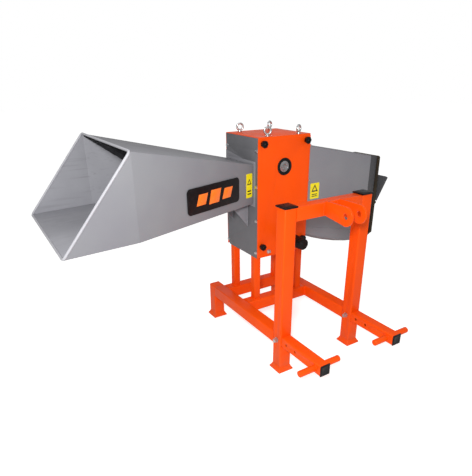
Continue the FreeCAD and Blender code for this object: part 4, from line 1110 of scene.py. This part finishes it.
# ---- hopper
@dataclass
class Hopper:
    """Infeed hopper: tapered walls, folded rim, flange with gussets, badge and label.

    Each chip of the emblem gives its start, its width and its height in millimetres.
    """

    sheet_edge_mm: float = 0.9
    rim_radius: float = 5 * MM
    rim_out: float = 2 * MM
    rim_bend: float = 16 * MM
    chips_mm: tuple[Point, ...] = ((-112, 54, 46), (-38, 62, 58), (46, 54, 46))
    chip_lean_mm: float = 16
    label_width: float = 44 * MM
    label_height: float = 112 * MM
    label_away: float = 32 * MM
    gusset_thick: float = 10 * MM
    gusset_long: float = 20 * MM
    weld: float = 1.8 * MM

    def build(self) -> list[Piece]:
        """Build the hopper's pieces."""
        edge = self.sheet_edge_mm
        return [
            soften("hopper_front_panel", Paint.GREY, edge, 2, 8),
            # painted light: the rear wall and the floor take the lighter grey, with real scuffs
            soften("hopper_rear_panel", Paint.GREY_WORN_AND_LIT, edge, 2, 8),
            soften("hopper_top_panel", Paint.GREY, edge),
            soften("hopper_floor", Paint.GREY_WORN_AND_LIT, edge),
            # painted shade: the baffle is black to stand for the shade under the hopper's top bar
            soften("infeed_baffle", Paint.BLACK, edge),
            self.rim(),
            soften("throat_flange", Paint.GREY, 0.8),
            soften("badge_plate", Paint.PLASTIC, 1.1, 3),
            self.emblem(),
            self.label(),
            self.welds(),
        ]

    def rim(self) -> Piece:
        """Bent round bar along the mouth's edge."""
        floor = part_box("hopper_floor")[0]
        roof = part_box("hopper_top_panel")
        front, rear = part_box("hopper_front_panel")[0].y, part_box("hopper_rear_panel")[1].y
        slope = spot(roof[0].x - floor.x, 0, roof[1].z - floor.z).normalized()
        out = spot(-slope.z, 0, slope.x) * self.rim_out
        deselect()
        bpy.ops.mesh.primitive_plane_add(size=1)
        path = bpy.context.object
        for vertex in path.data.vertices:
            along = rear if vertex.co.y > 0 else front
            if vertex.co.x > 0:
                vertex.co = spot(roof[0].x, along, roof[1].z) + out
            else:
                vertex.co = spot(floor.x, along, floor.z) + out
        pick_faces(path, lambda centre, normal: True)
        bpy.ops.mesh.bevel(offset=self.rim_bend, segments=5, affect="VERTICES")
        bpy.ops.mesh.delete(type="ONLY_FACE")
        leave_edit()
        bpy.ops.object.convert(target="CURVE")
        bpy.context.object.data.bevel_depth = self.rim_radius
        bpy.context.object.data.bevel_resolution = 4
        bpy.ops.object.convert(target="MESH")
        piece = settle(bpy.context.object, "mouth_bar")
        bpy.ops.object.shade_smooth()
        # painted highlight: the bar takes the lighter rim grey
        return fit(piece, Paint.RIM_HIGHLIGHT, "mouth_rim")

    def emblem(self) -> Piece:
        """Plain emblem on the badge: three leaning chips."""
        face = face_towards("badge_plate", FRONT)
        chips = []
        for index, (start, width, tall) in enumerate(self.chips_mm):
            end, lean, half = start + width, self.chip_lean_mm, tall / 2
            corners = [(start, -half), (end, -half), (end + lean, half), (start + lean, half)]
            outline = [(across * MM, upward * MM) for across, upward in corners]
            chip = flat_shape("chip_%d" % index, face, outline, 0.0, 0.9 * MM)
            chips.append(round_edges(chip, 0.5 * MM, 2))
        return fit(merge(chips, "emblem"), Paint.ORANGE_PRINT)

    def label(self) -> Piece:
        """Yellow label with a bare triangle, near the throat."""
        face = face_towards("hopper_front_panel", FRONT)
        across = (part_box("throat_flange")[1].x - self.label_away - face.middle.x) / face.across.x
        low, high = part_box("badge_plate")
        upward = ((low.z + high.z) / 2 - face.middle.z) / face.upward.z
        face.middle = face.at(across, upward)
        return plain_label("hopper_label", face, self.label_width, self.label_height)

    def welds(self) -> Piece:
        """Welds of the gussets and of the walls on the flange."""
        lines: list[Seam] = []
        for low, high in island_boxes("throat_flange"):
            if high.y - low.y > self.gusset_thick:
                continue
            for along in (low.y, high.y):
                lines.append(seam(low, high, "z", 3 * MM, 3 * MM, x=high.x, y=along))
                if high.x - low.x > self.gusset_long:
                    lines.append(seam(low, high, "x", 6 * MM, 0, y=along, z=high.z))
        return weld_lines("hopper_welds", lines, self.weld, Paint.GREY)


def plain_label(name: str, face: Face, width: float, height: float) -> Piece:
    """Yellow vinyl label with a bare black triangle and two bars, no text.

    Args:
        name: The piece's name.
        face: The face that it is stuck on; its middle is the label's middle.
        width: The label's width.
        height: The label's height.

    Returns:
        The label, with two finishes.
    """
    film = flat_shape(name, face, rounded_outline(width, height, 4 * MM), 0.05 * MM, 0.35 * MM)
    side = width * 0.36
    middle = height * 0.16
    base = middle - side * 0.8
    outer = [(-side, base), (side, base), (0, side + middle)]
    inner = [(across * 0.55, (upward - middle) * 0.55 + middle - side * 0.06) for across, upward in outer]
    hollow = flat_shape(name + "_sign_middle", face, inner, 0.32 * MM, 0.28 * MM)
    marks = [flat_shape(name + "_sign", face, outer, 0.3 * MM, 0.2 * MM)]
    bar_outline = rounded_outline(width * 0.62, height * 0.055, height * 0.02, 3)
    for index, level in enumerate((-0.22, -0.34)):
        shifted = [(across, upward + height * level) for across, upward in bar_outline]
        marks.append(flat_shape("%s_bar_%d" % (name, index), face, shifted, 0.3 * MM, 0.2 * MM))
    for sheet in (film, hollow):
        sheet.data.materials.append(finish_of(Paint.YELLOW))
    for mark in marks:
        mark.data.materials.append(finish_of(Paint.BLACK_PRINT))
    piece = merge([film, hollow] + marks, name)
    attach(piece, "machine")
    return piece


# ---- chute
@dataclass
class Chute:
    """Discharge chute: side walls, roof, rolled underside, edging, hinged flap and label."""

    end_length: float = 89 * MM
    label_width: float = 58 * MM
    label_height: float = 80 * MM
    label_away: float = 20 * MM
    label_drop: float = 52 * MM

    def build(self) -> list[Piece]:
        """Build the chute's pieces."""
        walls = [
            soften("chute_front_panel", Paint.GREY, 0.9, 2, 14),
            soften("chute_rear_panel", Paint.GREY, 0.9, 2, 14),
            soften("chute_top_panel", Paint.GREY, 0.9, 2, 25),
            soften("chute_belly", Paint.GREY, 0.8, 2, 40),
        ]
        for wall in walls:
            self.shade_end(wall)
        return walls + [
            soften("outlet_rim", Paint.EDGING, 3.6, 4, 30),
            # painted shade: the flap takes the darker grey because it leans away from the key light
            soften("deflector_flap", Paint.DARK, 1.0, 2, 30, "flap"),
            self.label(),
        ]

    def shade_end(self, wall: Piece) -> None:
        """Paint shade on the part of a wall that lies past the chute's bend: a darker grey that stands for
        the shade there.
        """
        wall.data.materials.append(finish_of(Paint.DARK))
        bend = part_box("chute_front_panel")[1].x - self.end_length
        for face in wall.data.polygons:
            if face.center.x > bend:
                face.material_index = 1

    def label(self) -> Piece:
        """Yellow label with a bare triangle, near the housing."""
        face = face_towards("chute_front_panel", FRONT)
        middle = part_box("chute_front_panel")[0].x + self.label_away + self.label_width / 2
        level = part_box("mast_crossbar")[1].z - self.label_drop
        face.middle = face.at((middle - face.middle.x) / face.across.x, level - face.middle.z)
        return plain_label("chute_label", face, self.label_width, self.label_height)


# ---- studio
@dataclass(frozen=True)
class View:
    """The camera: where it stands and looks, and how much it takes in."""

    azimuth: float = 31.6
    pitch: float = 24.0
    roll: float = -0.5
    place: Point = (-1.1526, -1.6277, 1.2581)
    lens: float = 33.25
    shift_x: float = -0.0085
    shift_y: float = 0.075

    def build(self) -> Piece:
        """Make the scene's camera."""
        data = bpy.data.cameras.new("studio_camera")
        data.lens = self.lens
        data.sensor_width = 36
        data.shift_x = self.shift_x
        data.shift_y = self.shift_y
        camera = bpy.data.objects.new("studio_camera", data)
        bpy.context.scene.collection.objects.link(camera)
        turn = Matrix.Rotation(math.radians(-self.azimuth), 4, "Z")
        tilt = Matrix.Rotation(math.radians(90 - self.pitch), 4, "X")
        lean = Matrix.Rotation(math.radians(self.roll), 4, "Z")
        camera.matrix_world = Matrix.Translation(self.place) @ turn @ tilt @ lean
        bpy.context.scene.camera = camera
        return camera


@dataclass(frozen=True)
class Studio:
    """Pale floor and white surround that only the camera sees as bright, and two square lights.

    Each light gives its place, its target, its size and its power in watts.
    """

    floor_size: float = 40.0
    floor_colour: str = "#F7F7F7"
    floor_cloud: str = "#EEEEEC"
    surround: str = "#FFFFFF"
    ambient: float = 0.5
    backlight: float = 0.6
    key: tuple[Point, Point, float, float] = ((-1.28, -1.62, 1.50), (-0.1, 0, 0.55), 0.24, 36)
    top: tuple[Point, Point, float, float] = ((0.0, -0.2, 3.6), (0, 0, 0), 2.0, 12)

    def build(self) -> None:
        """Make the floor, the surround and the lights."""
        deselect()
        bpy.ops.mesh.primitive_plane_add(size=self.floor_size)
        floor = bpy.context.object
        floor.name = "studio_floor"
        made, tree = blank_material("pale studio floor")
        colour = mixed(tree, patches(tree, 900, 2, 0.3, 0.7), self.floor_colour, self.floor_cloud)
        seen = add_node(tree, "ShaderNodeLightPath").outputs["Is Camera Ray"]
        glow = ranged(tree, seen, 0, 1, 0, self.backlight)
        finish_surface(tree, {"Roughness": 0.9, "Specular IOR Level": 0.0, "Emission Color": (1, 1, 1, 1)},
                       {"Base Color": colour, "Emission Strength": glow})
        floor.data.materials.append(made)
        world = bpy.data.worlds.new("studio")
        bpy.context.scene.world = world
        world.use_nodes = True
        world.node_tree.nodes.clear()
        seen = add_node(world.node_tree, "ShaderNodeLightPath").outputs["Is Camera Ray"]
        glow = add_node(world.node_tree, "ShaderNodeBackground", {"Color": linear(self.surround)},
                        {"Strength": ranged(world.node_tree, seen, 0, 1, self.ambient, 1.0)})
        add_node(world.node_tree, "ShaderNodeOutputWorld", None, {"Surface": glow.outputs[0]})
        self.light("key_softbox", *self.key)
        self.light("top_softbox", *self.top)
        bpy.context.scene.view_settings.view_transform = "Standard"

    def light(self, name: str, place: Point, target: Point, size: float, power: float) -> None:
        """Add one square soft light aimed at a point."""
        data = bpy.data.lights.new(name, "AREA")
        data.size = size
        data.energy = power
        lamp = bpy.data.objects.new(name, data)
        bpy.context.scene.collection.objects.link(lamp)
        lamp.location = place
        lamp.rotation_euler = (Vector(target) - Vector(place)).to_track_quat("-Z", "Y").to_euler()


def main() -> None:
    """Build every sub-assembly in order and report its pieces."""
    logging.basicConfig(level=logging.INFO, format="%(name)s: %(message)s")
    View().build()
    Studio().build()
    assemblies = [HitchFrame(), *map(HitchArm, SIDES), Housing(), Fasteners(), Drive(), Hopper(), Chute()]
    for assembly in assemblies:
        for piece in assembly.build():
            LOG.info("%s: %s, %d faces", type(assembly).__name__, piece.name, len(piece.data.polygons))


if __name__ == "__main__":
    main()
